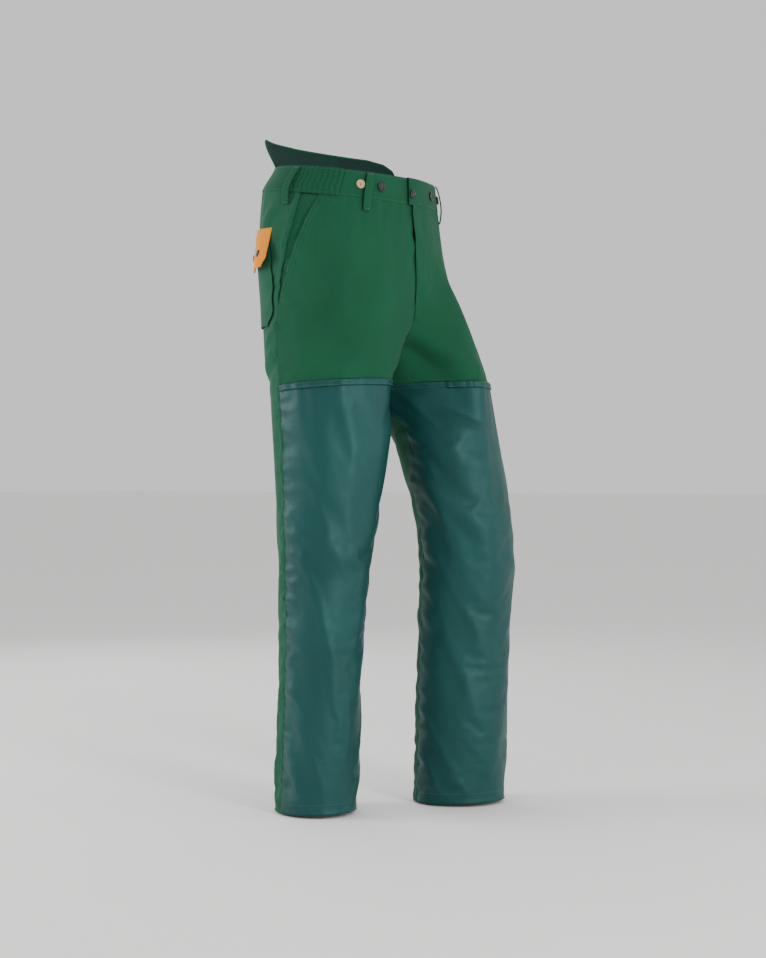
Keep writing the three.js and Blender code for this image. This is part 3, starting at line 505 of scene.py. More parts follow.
def finish_cloth(laid, thickness, nodes, slot, finish=None, refine=1):
    """Rounds the cloth, gives it its thickness and finish and hands it to the trousers."""
    obj = laid.obj
    if refine:
        rounding = obj.modifiers.new("rounding", "SUBSURF")
        rounding.levels = rounding.render_levels = refine
        rounding.boundary_smooth = "PRESERVE_CORNERS"
    wall = obj.modifiers.new("thickness", "SOLIDIFY")
    wall.thickness = thickness
    wall.offset = -1
    wall.use_rim = True
    obj.data.materials.append(finish_of(finish or slot))
    hand_over(obj, nodes, slot)
    return obj


def hand_over(obj, nodes, slot, body="trousers"):
    if nodes:
        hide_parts(*nodes)
    if body:
        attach(obj, body)


def mesh_object(name, bm, material):
    for face in bm.faces:
        face.smooth = True
    mesh = bpy.data.meshes.new(name)
    bm.to_mesh(mesh)
    bm.free()
    obj = bpy.data.objects.new(name, mesh)
    bpy.context.scene.collection.objects.link(obj)
    mesh.materials.append(material)
    return obj


# ---------------------------------------------------------------- materials


def start_material(name):
    material = bpy.data.materials.new(f"{name}_finish")
    material.use_nodes = True
    tree = material.node_tree
    shader = tree.nodes["Principled BSDF"]
    return material, tree, shader


def node(tree, kind, settings=(), links=()):
    """Adds a node, sets its properties or sockets by name and links its inputs."""
    made = tree.nodes.new(kind)
    for key, value in dict(settings).items():
        if hasattr(made, key):
            setattr(made, key, value)
        else:
            made.inputs[key].default_value = value
    for key, source in dict(links).items():
        tree.links.new(source, made.inputs[key])
    return made


def waves_scale(period):
    """The scale of a band texture whose bands lie this many metres apart."""
    return math.tau / (20 * period)


def shaded(tree, shader, factor, base, darker, lighter):
    """Colour that varies a little round the base colour."""
    ramp = node(tree, "ShaderNodeValToRGB", links={"Fac": factor})
    ramp.color_ramp.elements[0].position = 0.3
    ramp.color_ramp.elements[1].position = 0.7
    ramp.color_ramp.elements[0].color = (*(c * darker for c in base), 1)
    ramp.color_ramp.elements[1].color = (*(min(1, c * lighter) for c in base), 1)
    tree.links.new(ramp.outputs["Color"], shader.inputs["Base Color"])
    return ramp


def twill(name, base, roughness=0.88, wear=1.18):
    """Cotton and polyester twill, woven: steep diagonal ribs, matt with a faint bloom. The real
    ribs lie 0.6 mm apart and are drawn 1.6 mm apart so that they show."""
    material, tree, shader = start_material(name)
    at = node(tree, "ShaderNodeTexCoord")
    steep = node(
        tree,
        "ShaderNodeMapping",
        {"Rotation": (0, 0, math.radians(-27))},
        {"Vector": at.outputs["UV"]},
    )
    ribs = node(
        tree,
        "ShaderNodeTexWave",
        {"Scale": waves_scale(1.6 * MM), "Distortion": 0.6, "Detail": 2.0, "Detail Scale": 2.0},
        {"Vector": steep.outputs["Vector"]},
    )
    slub = node(
        tree, "ShaderNodeTexNoise", {"Scale": 900.0, "Detail": 2.0},
        {"Vector": at.outputs["Object"]},
    )
    broad = node(
        tree, "ShaderNodeTexNoise", {"Scale": 9.0, "Detail": 5.0},
        {"Vector": at.outputs["Object"]},
    )
    blend = node(
        tree,
        "ShaderNodeMix",
        {"data_type": "FLOAT", "Factor": 0.35},
    )
    tree.links.new(broad.outputs["Fac"], blend.inputs[2])
    tree.links.new(ribs.outputs["Fac"], blend.inputs[3])
    shaded(tree, shader, blend.outputs[0], base, 0.86, wear)
    coarse = node(
        tree, "ShaderNodeBump", {"Strength": 0.35, "Distance": 0.25 * MM},
        {"Height": ribs.outputs["Fac"]},
    )
    fine = node(
        tree,
        "ShaderNodeBump",
        {"Strength": 0.3, "Distance": 0.2 * MM},
        {"Height": slub.outputs["Fac"], "Normal": coarse.outputs["Normal"]},
    )
    tree.links.new(fine.outputs["Normal"], shader.inputs["Normal"])
    shader.inputs["Roughness"].default_value = roughness
    shader.inputs["Specular IOR Level"].default_value = 0.16
    shader.inputs["Sheen Weight"].default_value = 0.04
    shader.inputs["Sheen Roughness"].default_value = 0.5
    return material


def coated_nylon(name, base):
    """Woven nylon with a smooth polyurethane coat: satin, with broad soft highlights over a fine
    plain weave that is drawn 1.2 mm apart, twice as coarse as it is."""
    material, tree, shader = start_material(name)
    at = node(tree, "ShaderNodeTexCoord")
    weft = node(
        tree,
        "ShaderNodeTexWave",
        {"Scale": waves_scale(1.2 * MM), "Distortion": 0.4, "bands_direction": "X"},
        {"Vector": at.outputs["UV"]},
    )
    warp = node(
        tree,
        "ShaderNodeTexWave",
        {"Scale": waves_scale(1.2 * MM), "Distortion": 0.4, "bands_direction": "Y"},
        {"Vector": at.outputs["UV"]},
    )
    crinkle = node(
        tree, "ShaderNodeTexNoise", {"Scale": 60.0, "Detail": 6.0, "Roughness": 0.6},
        {"Vector": at.outputs["Object"]},
    )
    broad = node(
        tree, "ShaderNodeTexNoise", {"Scale": 7.0, "Detail": 4.0},
        {"Vector": at.outputs["Object"]},
    )
    shaded(tree, shader, broad.outputs["Fac"], base, 0.86, 1.14)
    weave = node(tree, "ShaderNodeMath", {"operation": "MULTIPLY"})
    tree.links.new(weft.outputs["Fac"], weave.inputs[0])
    tree.links.new(warp.outputs["Fac"], weave.inputs[1])
    threads = node(
        tree, "ShaderNodeBump", {"Strength": 0.2, "Distance": 0.1 * MM},
        {"Height": weave.outputs["Value"]},
    )
    creases = node(
        tree,
        "ShaderNodeBump",
        {"Strength": 0.35, "Distance": 1.6 * MM},
        {"Height": crinkle.outputs["Fac"], "Normal": threads.outputs["Normal"]},
    )
    tree.links.new(creases.outputs["Normal"], shader.inputs["Normal"])
    gloss = node(
        tree,
        "ShaderNodeMapRange",
        {"From Min": 0.3, "From Max": 0.7, "To Min": 0.46, "To Max": 0.56},
        {"Value": crinkle.outputs["Fac"]},
    )
    tree.links.new(gloss.outputs["Result"], shader.inputs["Roughness"])
    shader.inputs["Specular IOR Level"].default_value = 0.5
    shader.inputs["Specular Tint"].default_value = (0.42, 0.80, 0.77, 1)
    return material


def plain_weave(name, base, roughness, pitch):
    """Plain woven or knitted cloth, undyed or dyed: an even grid of threads, matt."""
    material, tree, shader = start_material(name)
    at = node(tree, "ShaderNodeTexCoord")
    cells = node(
        tree, "ShaderNodeTexVoronoi", {"Scale": 1 / pitch, "Randomness": 0.35},
        {"Vector": at.outputs["Object"]},
    )
    broad = node(
        tree, "ShaderNodeTexNoise", {"Scale": 14.0, "Detail": 4.0},
        {"Vector": at.outputs["Object"]},
    )
    shaded(tree, shader, broad.outputs["Fac"], base, 0.85, 1.12)
    bump = node(
        tree, "ShaderNodeBump", {"Strength": 0.4, "Distance": 0.3 * MM},
        {"Height": cells.outputs["Distance"]},
    )
    tree.links.new(bump.outputs["Normal"], shader.inputs["Normal"])
    shader.inputs["Roughness"].default_value = roughness
    shader.inputs["Specular IOR Level"].default_value = 0.2
    return material


def ribbed_elastic(name, base):
    """Woven rubber and polyester elastic: ribs along its length, drawn 2 mm apart, matt."""
    material, tree, shader = start_material(name)
    at = node(tree, "ShaderNodeTexCoord")
    ribs = node(
        tree,
        "ShaderNodeTexWave",
        {"Scale": waves_scale(2 * MM), "bands_direction": "Z"},
        {"Vector": at.outputs["Object"]},
    )
    shaded(tree, shader, ribs.outputs["Fac"], base, 0.88, 1.0)
    bump = node(
        tree, "ShaderNodeBump", {"Strength": 0.5, "Distance": 0.3 * MM},
        {"Height": ribs.outputs["Fac"]},
    )
    tree.links.new(bump.outputs["Normal"], shader.inputs["Normal"])
    shader.inputs["Roughness"].default_value = 0.85
    return material


def moulded_plastic(name, base):
    """Polyester button stock, moulded and tumbled: smooth, semi-gloss, faintly mottled."""
    material, tree, shader = start_material(name)
    at = node(tree, "ShaderNodeTexCoord")
    mottle = node(
        tree, "ShaderNodeTexNoise", {"Scale": 260.0, "Detail": 3.0},
        {"Vector": at.outputs["Object"]},
    )
    shaded(tree, shader, mottle.outputs["Fac"], base, 0.9, 1.1)
    scuffs = node(
        tree, "ShaderNodeTexNoise", {"Scale": 1500.0, "Detail": 4.0},
        {"Vector": at.outputs["Object"]},
    )
    bump = node(
        tree, "ShaderNodeBump", {"Strength": 0.1, "Distance": 0.05 * MM},
        {"Height": scuffs.outputs["Fac"]},
    )
    tree.links.new(bump.outputs["Normal"], shader.inputs["Normal"])
    shader.inputs["Roughness"].default_value = 0.32
    shader.inputs["IOR"].default_value = 1.54
    return material


def lacquered_brass(name, base):
    """Brass, cast and stamped, under black lacquer: dark, smooth, worn a little lighter."""
    material, tree, shader = start_material(name)
    at = node(tree, "ShaderNodeTexCoord")
    wear = node(
        tree, "ShaderNodeTexNoise", {"Scale": 380.0, "Detail": 6.0, "Roughness": 0.7},
        {"Vector": at.outputs["Object"]},
    )
    shaded(tree, shader, wear.outputs["Fac"], base, 0.8, 2.2)
    bump = node(
        tree, "ShaderNodeBump", {"Strength": 0.15, "Distance": 0.05 * MM},
        {"Height": wear.outputs["Fac"]},
    )
    tree.links.new(bump.outputs["Normal"], shader.inputs["Normal"])
    shader.inputs["Roughness"].default_value = 0.34
    shader.inputs["Metallic"].default_value = 0.6
    return material


def spun_thread(name, base):
    """Corespun polyester thread, three plies twisted: soft, slightly lustrous."""
    material, tree, shader = start_material(name)
    at = node(tree, "ShaderNodeTexCoord")
    plies = node(
        tree, "ShaderNodeTexNoise", {"Scale": 1200.0, "Detail": 2.0},
        {"Vector": at.outputs["Object"]},
    )
    shaded(tree, shader, plies.outputs["Fac"], base, 0.8, 1.2)
    bump = node(
        tree, "ShaderNodeBump", {"Strength": 0.4, "Distance": 0.15 * MM},
        {"Height": plies.outputs["Fac"]},
    )
    tree.links.new(bump.outputs["Normal"], shader.inputs["Normal"])
    shader.inputs["Roughness"].default_value = 0.6
    shader.inputs["Sheen Weight"].default_value = 0.2
    return material


def painted_floor(name, base):
    """Studio floor, rolled matt paint: even and pale with a faint roller texture."""
    material, tree, shader = start_material(name)
    at = node(tree, "ShaderNodeTexCoord")
    roller = node(
        tree, "ShaderNodeTexNoise", {"Scale": 120.0, "Detail": 3.0},
        {"Vector": at.outputs["Object"]},
    )
    shaded(tree, shader, roller.outputs["Fac"], base, 0.985, 1.0)
    shader.inputs["Roughness"].default_value = 0.8
    return material


MAKERS = {
    "green_twill": lambda c: twill("green_twill", c.twill),
    "seat_twill": lambda c: twill("seat_twill", c.seat_twill, wear=1.25),
    "orange_twill": lambda c: twill("orange_twill", c.orange, roughness=0.8, wear=1.05),
    "coated_nylon": lambda c: coated_nylon("coated_nylon", c.coated),
    "cut_pad_knit": lambda c: plain_weave("cut_pad_knit", c.pad, 0.95, 2.2 * MM),
    "lining_cloth": lambda c: plain_weave("lining_cloth", c.inside, 0.85, 1.2 * MM),
    "pocket_cloth": lambda c: plain_weave("pocket_cloth", c.pocketing, 0.9, 1.2 * MM),
    "waistband_canvas": lambda c: plain_weave("waistband_canvas", c.canvas, 0.95, 1.4 * MM),
    "zip_tape": lambda c: plain_weave("zip_tape", tuple(0.7 * x for x in c.inside), 0.9, 1.0 * MM),
    "elastic": lambda c: ribbed_elastic("elastic", c.elastic),
    "dark_button": lambda c: moulded_plastic("dark_button", c.dark_button),
    "cream_button": lambda c: moulded_plastic("cream_button", c.cream_button),
    "zip_metal": lambda c: lacquered_brass("zip_metal", c.metal),
    "stud_metal": lambda c: lacquered_brass("stud_metal", tuple(0.8 * x for x in c.metal)),
    "green_thread": lambda c: spun_thread("green_thread", c.thread),
    "orange_thread": lambda c: spun_thread("orange_thread", tuple(0.75 * x for x in c.orange)),
    "brown_thread": lambda c: spun_thread("brown_thread", c.brown_thread),
    "floor_paint": lambda c: painted_floor("floor_paint", c.floor),
}


def finish_of(name):
    """The named finish, made the first time that it is asked for."""
    return bpy.data.materials.get(f"{name}_finish") or MAKERS[name](bpy.context.scene.trousers_colours)


# ---------------------------------------------------------------- stitching


class Surface:
    """The finished outside of some cloth pieces, to sew on."""

    def __init__(self, *objects):
        depsgraph = bpy.context.evaluated_depsgraph_get()
        corners, faces = [], []
        for obj in objects:
            shape = obj.evaluated_get(depsgraph).data
            first = len(corners)
            corners += [vertex.co.copy() for vertex in shape.vertices]
            faces += [[first + k for k in polygon.vertices] for polygon in shape.polygons]
        self.tree = BVHTree.FromPolygons(corners, faces)

    def on(self, point, outward):
        """The place on the cloth that is straight in from a point that stands off it."""
        start = point + outward * 0.012
        spot, _, _, _ = self.tree.ray_cast(start, -outward, 0.040)
        return spot if spot is not None else point


def sew(name, rows, thread, material_name, body="trousers", nodes=(), blended=None):
    """Rows of topstitches. Each row is a list of points with the outward direction at each."""
    sizes = bpy.context.scene.trousers_sizes
    bm = bmesh.new()
    pitch = sizes.stitch + sizes.stitch_gap
    for row in rows:
        points = [point for point, _ in row]
        reach = np.cumsum([0] + [(b - a).length for a, b in zip(points, points[1:])])
        marks = np.arange(pitch / 2, reach[-1], pitch)
        for mark in marks:
            k = min(len(points) - 2, int(np.searchsorted(reach, mark)) - 1)
            t = (mark - reach[k]) / max(1e-9, reach[k + 1] - reach[k])
            place = points[k].lerp(points[k + 1], t)
            along = (points[k + 1] - points[k]).normalized()
            outward = row[k][1]
            across = outward.cross(along).normalized()
            up = along.cross(across)
            turn = Matrix((along, across, up)).transposed().to_4x4()
            shape = Matrix.Diagonal((sizes.stitch / 2, thread / 2, thread * 0.45, 1))
            bmesh.ops.create_icosphere(
                bm,
                subdivisions=1,
                radius=1,
                matrix=Matrix.Translation(place + up * thread * 0.2) @ turn @ shape,
            )
    obj = mesh_object(name, bm, finish_of(material_name))
    slots = {"green_thread": "green_twill", "orange_thread": "orange_twill", "brown_thread": "cream_button"}
    if blended:
        hand_over(obj, nodes, slots[material_name], body=None)
        blend_flap(obj)
    else:
        hand_over(obj, nodes, slots[material_name], body)
    return obj


def path_on(surface, form, side, s_of, z_from, z_to, step=0.008):
    """Points on the cloth along s = s_of(z), from one height to another."""
    count = max(2, int(abs(z_to - z_from) / step))
    z = np.linspace(z_from, z_to, count)
    return points_on(surface, form, side, s_of(z), z)


def points_on(surface, form, side, s, z, proud=0.0):
    s, z = np.broadcast_arrays(np.asarray(s, float), np.asarray(z, float))
    places, normals = form.point(side, s, z), form.normal(side, s, z)
    row = []
    for place, normal in zip(places, normals):
        outward = Vector(normal)
        row.append((surface.on(Vector(place) + outward * proud, outward), outward))
    return row


def from_corner_to_corner(corners, steps):
    """Places in `s` and heights along straight lines between the corners."""
    lines = list(zip(corners, corners[1:]))
    return [np.concatenate([np.linspace(a[k], b[k], steps)[:-1] for a, b in lines]) for k in (0, 1)]


# ---------------------------------------------------------------- operators


def setup():
    scene = bpy.context.scene
    return Form(scene.trousers_sizes), scene.trousers_sizes


def find(*names):
    return [bpy.data.objects[name] for name in names]


class TROUSERS_OT_panels(bpy.types.Operator):
    """Lays the fronts, leg panels and backs and lets them settle between their seams"""

    bl_idname = "trousers.panels"
    bl_label = "Outer Panels"

    def execute(self, context):
        form, sizes = setup()
        for side in (LEFT, RIGHT):
            self.front(form, sizes, side)
            self.leg(form, sizes, side)
            self.back(form, sizes, side)
        return {"FINISHED"}

    def panel(self, form, sizes, side, name, edges, top, bottom, material, slot, rough, gape=0.0):
        z_of = downwards(top, bottom)

        def depth_of(u, v, s, z):
            below_band = smooth((form.waist_seam - 0.004 - z) / 0.030)
            above_tack = smooth((z - form.waist_seam + 0.186) / 0.040)
            mouth = gape * smooth((u - 0.93) / 0.07) * below_band * above_tack
            return -form.fly_rise(side, s, z) - relief(form, side, s, z) - mouth

        laid = lay(name, form, side, between(*edges, z_of), z_of, depth_of, rough, sizes.pitch)
        settle(laid, swell=0.014, inward=0.0016, outward=0.0045)
        return finish_cloth(laid, sizes.cloth, [name.replace("_cloth", "")], slot, material)

    def front(self, form, sizes, side):
        edges = (
            partial(form.front_edge, side),
            lambda z: np.minimum(form.pocket_mouth(side, z), form.outer_seam(side, z)),
        )
        name = f"front_panel_{SIDE_NAME[side]}_cloth"
        self.panel(form, sizes, side, name, edges, form.waist_seam + 0.002, form.thigh_seam - 0.002,
                   "green_twill", "green_twill", (0.22, 0.32), gape=0.004)

    def leg(self, form, sizes, side):
        edges = (partial(form.inner_seam, side), partial(form.outer_seam, side))
        name = f"leg_panel_{SIDE_NAME[side]}_cloth"
        self.panel(form, sizes, side, name, edges, form.thigh_seam, form.hem, "coated_nylon",
                   "coated_nylon", (0.28, 0.70))

    def back(self, form, sizes, side):
        edges = (partial(form.outer_seam, side), lambda z: form.inner_seam(side, z) + 2)
        name = f"back_panel_{SIDE_NAME[side]}_cloth"
        self.panel(form, sizes, side, name, edges, form.waist_seam + 0.002, form.hem, "seat_twill",
                   "green_twill", (0.27, 1.03))


class TROUSERS_OT_linings(bpy.types.Operator):
    """Lays the cut pads, the linings behind them and the turned-up hems"""

    bl_idname = "trousers.linings"
    bl_label = "Pads and Linings"

    def execute(self, context):
        form, sizes = setup()
        pad_top = form.waist_seam - 0.105
        pad_bottom = form.hem + sizes.hem_depth + 0.006

        def inner(side, allowance):
            def edge(z):
                seam = form.inner_seam(side, z)
                clear = smooth((z - form.fly_flat + 0.030) / 0.030)
                inset = allowance + (0.048 - allowance) * clear
                return seam + form.to_s(side, seam + 0.05, z, inset)
            return edge

        for side in (LEFT, RIGHT):
            tag = SIDE_NAME[side]

            def layer(name, allowance, top, bottom, depths, quilted):
                upper, lower = depths
                far = beside(form, side, partial(form.outer_seam, side), -allowance)
                z_of = downwards(top, bottom)
                s_of = between(inner(side, allowance), far, z_of)

                def depth_of(u, v, s, z):
                    channels = 0.0012 * np.abs(np.sin(u * 4 * math.pi)) ** 0.35 if quilted else 0
                    base = lower + (upper - lower) * smooth((z - form.crotch + 0.015) / 0.030)
                    return base - np.minimum(0, relief(form, side, s, z)) - channels

                return lay(name, form, side, s_of, z_of, depth_of, (0.2, top - bottom), 0.008)

            pad = layer(f"cut_pad_{tag}_knit", 0.007, pad_top, pad_bottom, PAD_DEPTH, True)
            fill = pad.obj.modifiers.new("thickness", "SOLIDIFY")
            fill.thickness = sizes.pad - 0.0005
            fill.offset = -1
            pad.obj.data.materials.append(finish_of("cut_pad_knit"))
            hand_over(pad.obj, [f"cut_pad_{tag}"], "cut_pad_knit")
            lining = layer(f"lining_{tag}_cloth", 0.003, form.waist_seam - 0.008,
                           form.hem + sizes.hem_depth + 0.002, LINING_DEPTH, False)
            finish_cloth(lining, 0.0006, [f"lining_{tag}"], "lining_cloth")
            self.hem(form, sizes, side)
        return {"FINISHED"}

    def hem(self, form, sizes, side):
        """The hem is rolled round the bottom edge and up inside the leg."""
        def z_of(u, v):
            return form.hem + np.where(v < 0.12, (0.06 - v) * 0.012, (v - 0.12) / 0.88 * sizes.hem_depth)

        def depth_of(u, v, s, z):
            roll = np.clip(v / 0.12, 0, 1)
            return 0.0002 + 0.0022 * roll - relief(form, side, s, z)

        name = f"hem_facing_{SIDE_NAME[side]}"
        laid = lay(f"{name}_cloth", form, side, lambda u, v: -1 + 2 * u, z_of, depth_of,
                   (0.45, sizes.hem_depth), 0.003, even=True)
        merge_ends(laid.obj)
        finish_cloth(laid, 0.0006, [name], "coated_nylon", refine=0)


def merge_ends(obj):
    """Closes a piece that runs all the way round."""
    bm = bmesh.new()
    bm.from_mesh(obj.data)
    bmesh.ops.remove_doubles(bm, verts=bm.verts[:], dist=0.05 * MM)
    bm.to_mesh(obj.data)
    bm.free()


class TROUSERS_OT_side_pockets(bpy.types.Operator):
    """Lays the facing behind each slanted pocket mouth and the pocket bag inside"""

    bl_idname = "trousers.side_pockets"
    bl_label = "Side Pockets"

    def execute(self, context):
        form, sizes = setup()
        top, mouth_bottom = form.waist_seam, form.waist_seam - POCKET_MOUTH
        for side in (LEFT, RIGHT):
            tag = SIDE_NAME[side]
            seam = partial(form.outer_seam, side)
            near = beside(form, side, partial(form.pocket_mouth, side), -0.020)
            z_of = downwards(top, mouth_bottom - 0.012)
            s_of = between(near, seam, z_of)
            depth_of = lambda u, v, s, z: 0.0017 - relief(form, side, s, z) * 0.8
            laid = lay(f"side_pocket_facing_{tag}_cloth", form, side, s_of, z_of, depth_of,
                       (0.07, 0.20), 0.005)
            finish_cloth(laid, 0.0008, [f"side_pocket_facing_{tag}"], "green_twill")
            bag_near = lambda z: -0.62 + 0.1 * smooth((form.waist_seam - z) / 0.200)
            bag_z = lambda u, v: top - 0.014 + (mouth_bottom - 0.055 - top + 0.014) * v
            bag_s = between(bag_near, beside(form, side, seam, -0.009), bag_z)
            bag_depth = lambda u, v, s, z: 0.0042 - relief(form, side, s, z)
            bag = lay(f"side_pocket_bag_{tag}_cloth", form, side, bag_s, bag_z, bag_depth,
                      (0.14, 0.22), 0.009)
            finish_cloth(bag, 0.0007, [f"side_pocket_bag_{tag}"], "pocket_cloth")
        return {"FINISHED"}


ELASTIC_FROM, ELASTIC_TO = -0.41, -0.01


class TROUSERS_OT_waistband(bpy.types.Operator):
    """Makes the waistband: fronts, gathered sides over elastic, back, canvas and facing"""

    bl_idname = "trousers.waistband"
    bl_label = "Waistband"

    def execute(self, context):
        form, sizes = setup()
        for side in (LEFT, RIGHT):
            tag = SIDE_NAME[side]
            end = -1 - float(form.to_s(side, -1, -sizes.band_height / 2, 0.021 if side == LEFT else 0.003))
            spans = (
                ("front", end, ELASTIC_FROM, 0, 0.004),
                ("side", ELASTIC_FROM, ELASTIC_TO, 1, 0.0016),
                ("back", ELASTIC_TO, 1.0, 0, 0.004),
            )
            for part, start, stop, gathered, pitch in spans:
                laid = self.band(form, sizes, side, f"waistband_{part}_{tag}", start, stop, gathered, pitch)
                finish_cloth(laid, 0.0009, [f"waistband_{part}_{tag}"], "green_twill",
                             refine=0 if gathered else 1)
            self.inside(form, sizes, side, f"waistband_facing_{tag}", end + 0.01, 1.0, 0.0042, 0.0007,
                        "lining_cloth", 0.006)
            self.inside(form, sizes, side, f"waistband_canvas_front_{tag}", end + 0.02, ELASTIC_FROM - 0.01,
                        0.0016, 0.0010, "waistband_canvas", 0.008)
            self.inside(form, sizes, side, f"waist_elastic_{tag}", ELASTIC_FROM + 0.005, ELASTIC_TO - 0.005,
                        0.0022, 0.0012, "elastic", 0.006)
        self.back_canvas(form, sizes)
        return {"FINISHED"}

    def band(self, form, sizes, side, name, start, stop, gathered, pitch):
        height = sizes.band_height
        # the band's profile: inside top, over the top edge, down the outside, turned under below
        marks = np.array([0, 0.06, 0.12, 0.18, 0.24, 0.30, 0.97, 1])
        levels = np.array([-0.0045, -0.0008, 0.0006, 0.0008, -0.0002, -0.0030, -height, -height])
        depths = np.array([0.0050, 0.0048, 0.0036, 0.0012, -0.0002, -0.0006, -0.0008, 0.0006])
        lobes = 3.2 * MM

        def z_of(u, v):
            return np.interp(v, marks, levels)

        def s_of(u, v):
            return start + (stop - start) * u

        def depth_of(u, v, s, z):
            depth = np.interp(v, marks, depths) - form.fly_rise(side, s, z)
            soft = 0.0007 * puckers(s * 0.16, 0 * s, 1, 0.05, 31.0 + side)
            if gathered:
                scale = 0.16
                wander = 0.0012 * puckers(s * scale, 0 * s, 1, 0.02, 41.0)
                phase = (s * scale + wander + 0.0006 * np.sin(z * 260)) / (2 * lobes) * math.tau
                pulled = np.min([np.abs(z + height * k) for k in (0.14, 0.38, 0.62, 0.86)], axis=0)
                ends = smooth(u / 0.06) * smooth((1 - u) / 0.06) * smooth((1 - v) / 0.03)
                ridge = 0.5 + 0.5 * np.sin(phase)
                swell = 0.0006 + 0.0030 * ridge * (1 - 0.55 * np.exp(-((pulled / 0.0016) ** 2)))
                depth = depth - swell * ends * np.where(v < 0.12, 0.4, 1)
            below = smooth((-z - height * 0.7) / (height * 0.3))
            return depth - soft - below * 0.5 * relief(form, side, s, np.full_like(z, -height))

        return lay(f"{name}_cloth", form, side, s_of, z_of, depth_of,
                   (0.17 * (stop - start), height * 1.5), pitch, even=True)

    def inside(self, form, sizes, side, name, start, stop, depth, thickness, finish, pitch):
        height = sizes.band_height
        z_of = lambda u, v: -0.0030 + (0.0030 + 0.0008 - height) * v
        s_of = lambda u, v: start + (stop - start) * u
        depth_of = lambda u, v, s, z: depth - form.fly_rise(side, s, z)
        laid = lay(f"{name}_cloth", form, side, s_of, z_of, depth_of, (0.17 * (stop - start), height), pitch,
                   even=True)
        finish_cloth(laid, thickness, [name], finish)

    def back_canvas(self, form, sizes):
        height = sizes.band_height
        start = ELASTIC_TO + 0.005
        z_of = lambda u, v: -0.0020 + (0.0012 - height) * v
        side_of = lambda u, v: np.where(u < 0.5, LEFT, RIGHT)
        s_of = lambda u, v: 1 - np.abs(2 * u - 1) * (1 - start)
        depth_of = lambda u, v, s, z: 0.0016 + 0 * z
        laid = lay("waistband_canvas_back_cloth", form, side_of, s_of, z_of, depth_of, (0.34, height),
                   0.008, even=True)
        finish_cloth(laid, 0.0010, ["waistband_canvas_back"], "waistband_canvas")


class TROUSERS_OT_kidney_flap(bpy.types.Operator):
    """Makes the raised flap behind the waist, lined and rolled over its top edge"""

    bl_idname = "trousers.kidney_flap"
    bl_label = "Kidney Flap"

    def execute(self, context):
        form, sizes = setup()
        tall = sizes.collar_height
        # the rounded ends: places in `s` and the height there as a share of the whole
        ends = {LEFT: 0.13, RIGHT: 0.42}
        outline_s = {
            LEFT: [0.13, 0.14, 0.19, 0.28, 0.40, 0.60],
            RIGHT: [0.42, 0.43, 0.455, 0.50, 0.56, 0.60],
        }
        outline_z = {
            LEFT: [0.10, 0.32, 0.62, 0.86, 0.98, 1.0],
            RIGHT: [0.12, 0.55, 0.80, 0.94, 1.0, 1.0],
        }
        middle = 0.55
        side_of = lambda u, v: np.where(u < middle, LEFT, RIGHT)

        def s_of(u, v):
            left = ends[LEFT] + (1 - ends[LEFT]) * u / middle
            right = 1 - (1 - ends[RIGHT]) * (u - middle) / (1 - middle)
            return np.where(u < middle, left, right)

        def top(s, sides):
            left = np.interp(s, outline_s[LEFT], outline_z[LEFT])
            right = np.interp(s, outline_s[RIGHT], outline_z[RIGHT])
            return tall * np.where(sides == LEFT, left, right)

        def lean(s, z):
            up = np.clip(z / tall, 0, 1)
            return sizes.collar_lean * (1 - (1 - up) ** 1.7) * smooth((s - ends[LEFT] + 0.1) / 0.35)

        def waver(s, z, sides):
            ripple = puckers(s * 0.16 * sides, 0 * s, 1, 0.035, 51.0)
            return 0.0040 * ripple * np.clip(z / tall, 0, 1) ** 1.5

        def cloth(name, marks, rises, depths, thickness, finish):
            rises, depths, marks = np.array(rises), np.array(depths), np.array(marks)

            def z_of(u, v):
                share = np.interp(v, marks, rises)
                return share * top(s_of(u, v), side_of(u, v)) - np.where(v > 0.9, 0.001, 0)

            def depth_of(u, v, s, z):
                return np.interp(v, marks, depths) - lean(s, z) - waver(s, z, side_of(u, v))

            laid = lay(f"{name}_cloth", form, side_of, s_of, z_of, depth_of, (0.40, tall * 1.2), 0.003,
                       even=True)
            finish_cloth(laid, thickness, [name], finish)

        cloth("kidney_flap", [0, 0.06, 0.12, 0.18, 1], [0.93, 1.0, 1.01, 0.985, 0.0],
              [0.0028, 0.0022, 0.0010, 0.0, 0.0002], 0.0009, "green_twill")
        cloth("kidney_flap_lining", [0, 1], [0.95, 0.0], [0.0022, 0.0024], 0.0007, "lining_cloth")
        return {"FINISHED"}


# name, side, place in `s`
LOOPS = (
    ("front_left", LEFT, -0.59),
    ("front_right", RIGHT, -0.60),
    ("side_left", LEFT, 0.01),
    ("side_right", RIGHT, -0.01),
    ("back_left", LEFT, 0.70),
    ("back_right", RIGHT, 0.70),
    ("back", 0, 1.0),
)


def loop_depth(form, sizes, side, s, z):
    """Depth of a loop's inner face: sewn down at both ends and bowed out between them."""
    t = (-0.001 - z) / sizes.loop_drop
    bow = 0.72 * np.sin(math.pi * np.clip(t, 0, 1)) ** 0.55
    sewn = -0.0016 + 0.0006 * smooth((form.waist_seam - z) / 0.008)
    return sewn - sizes.loop_stand * bow - form.fly_rise(side, s, z)


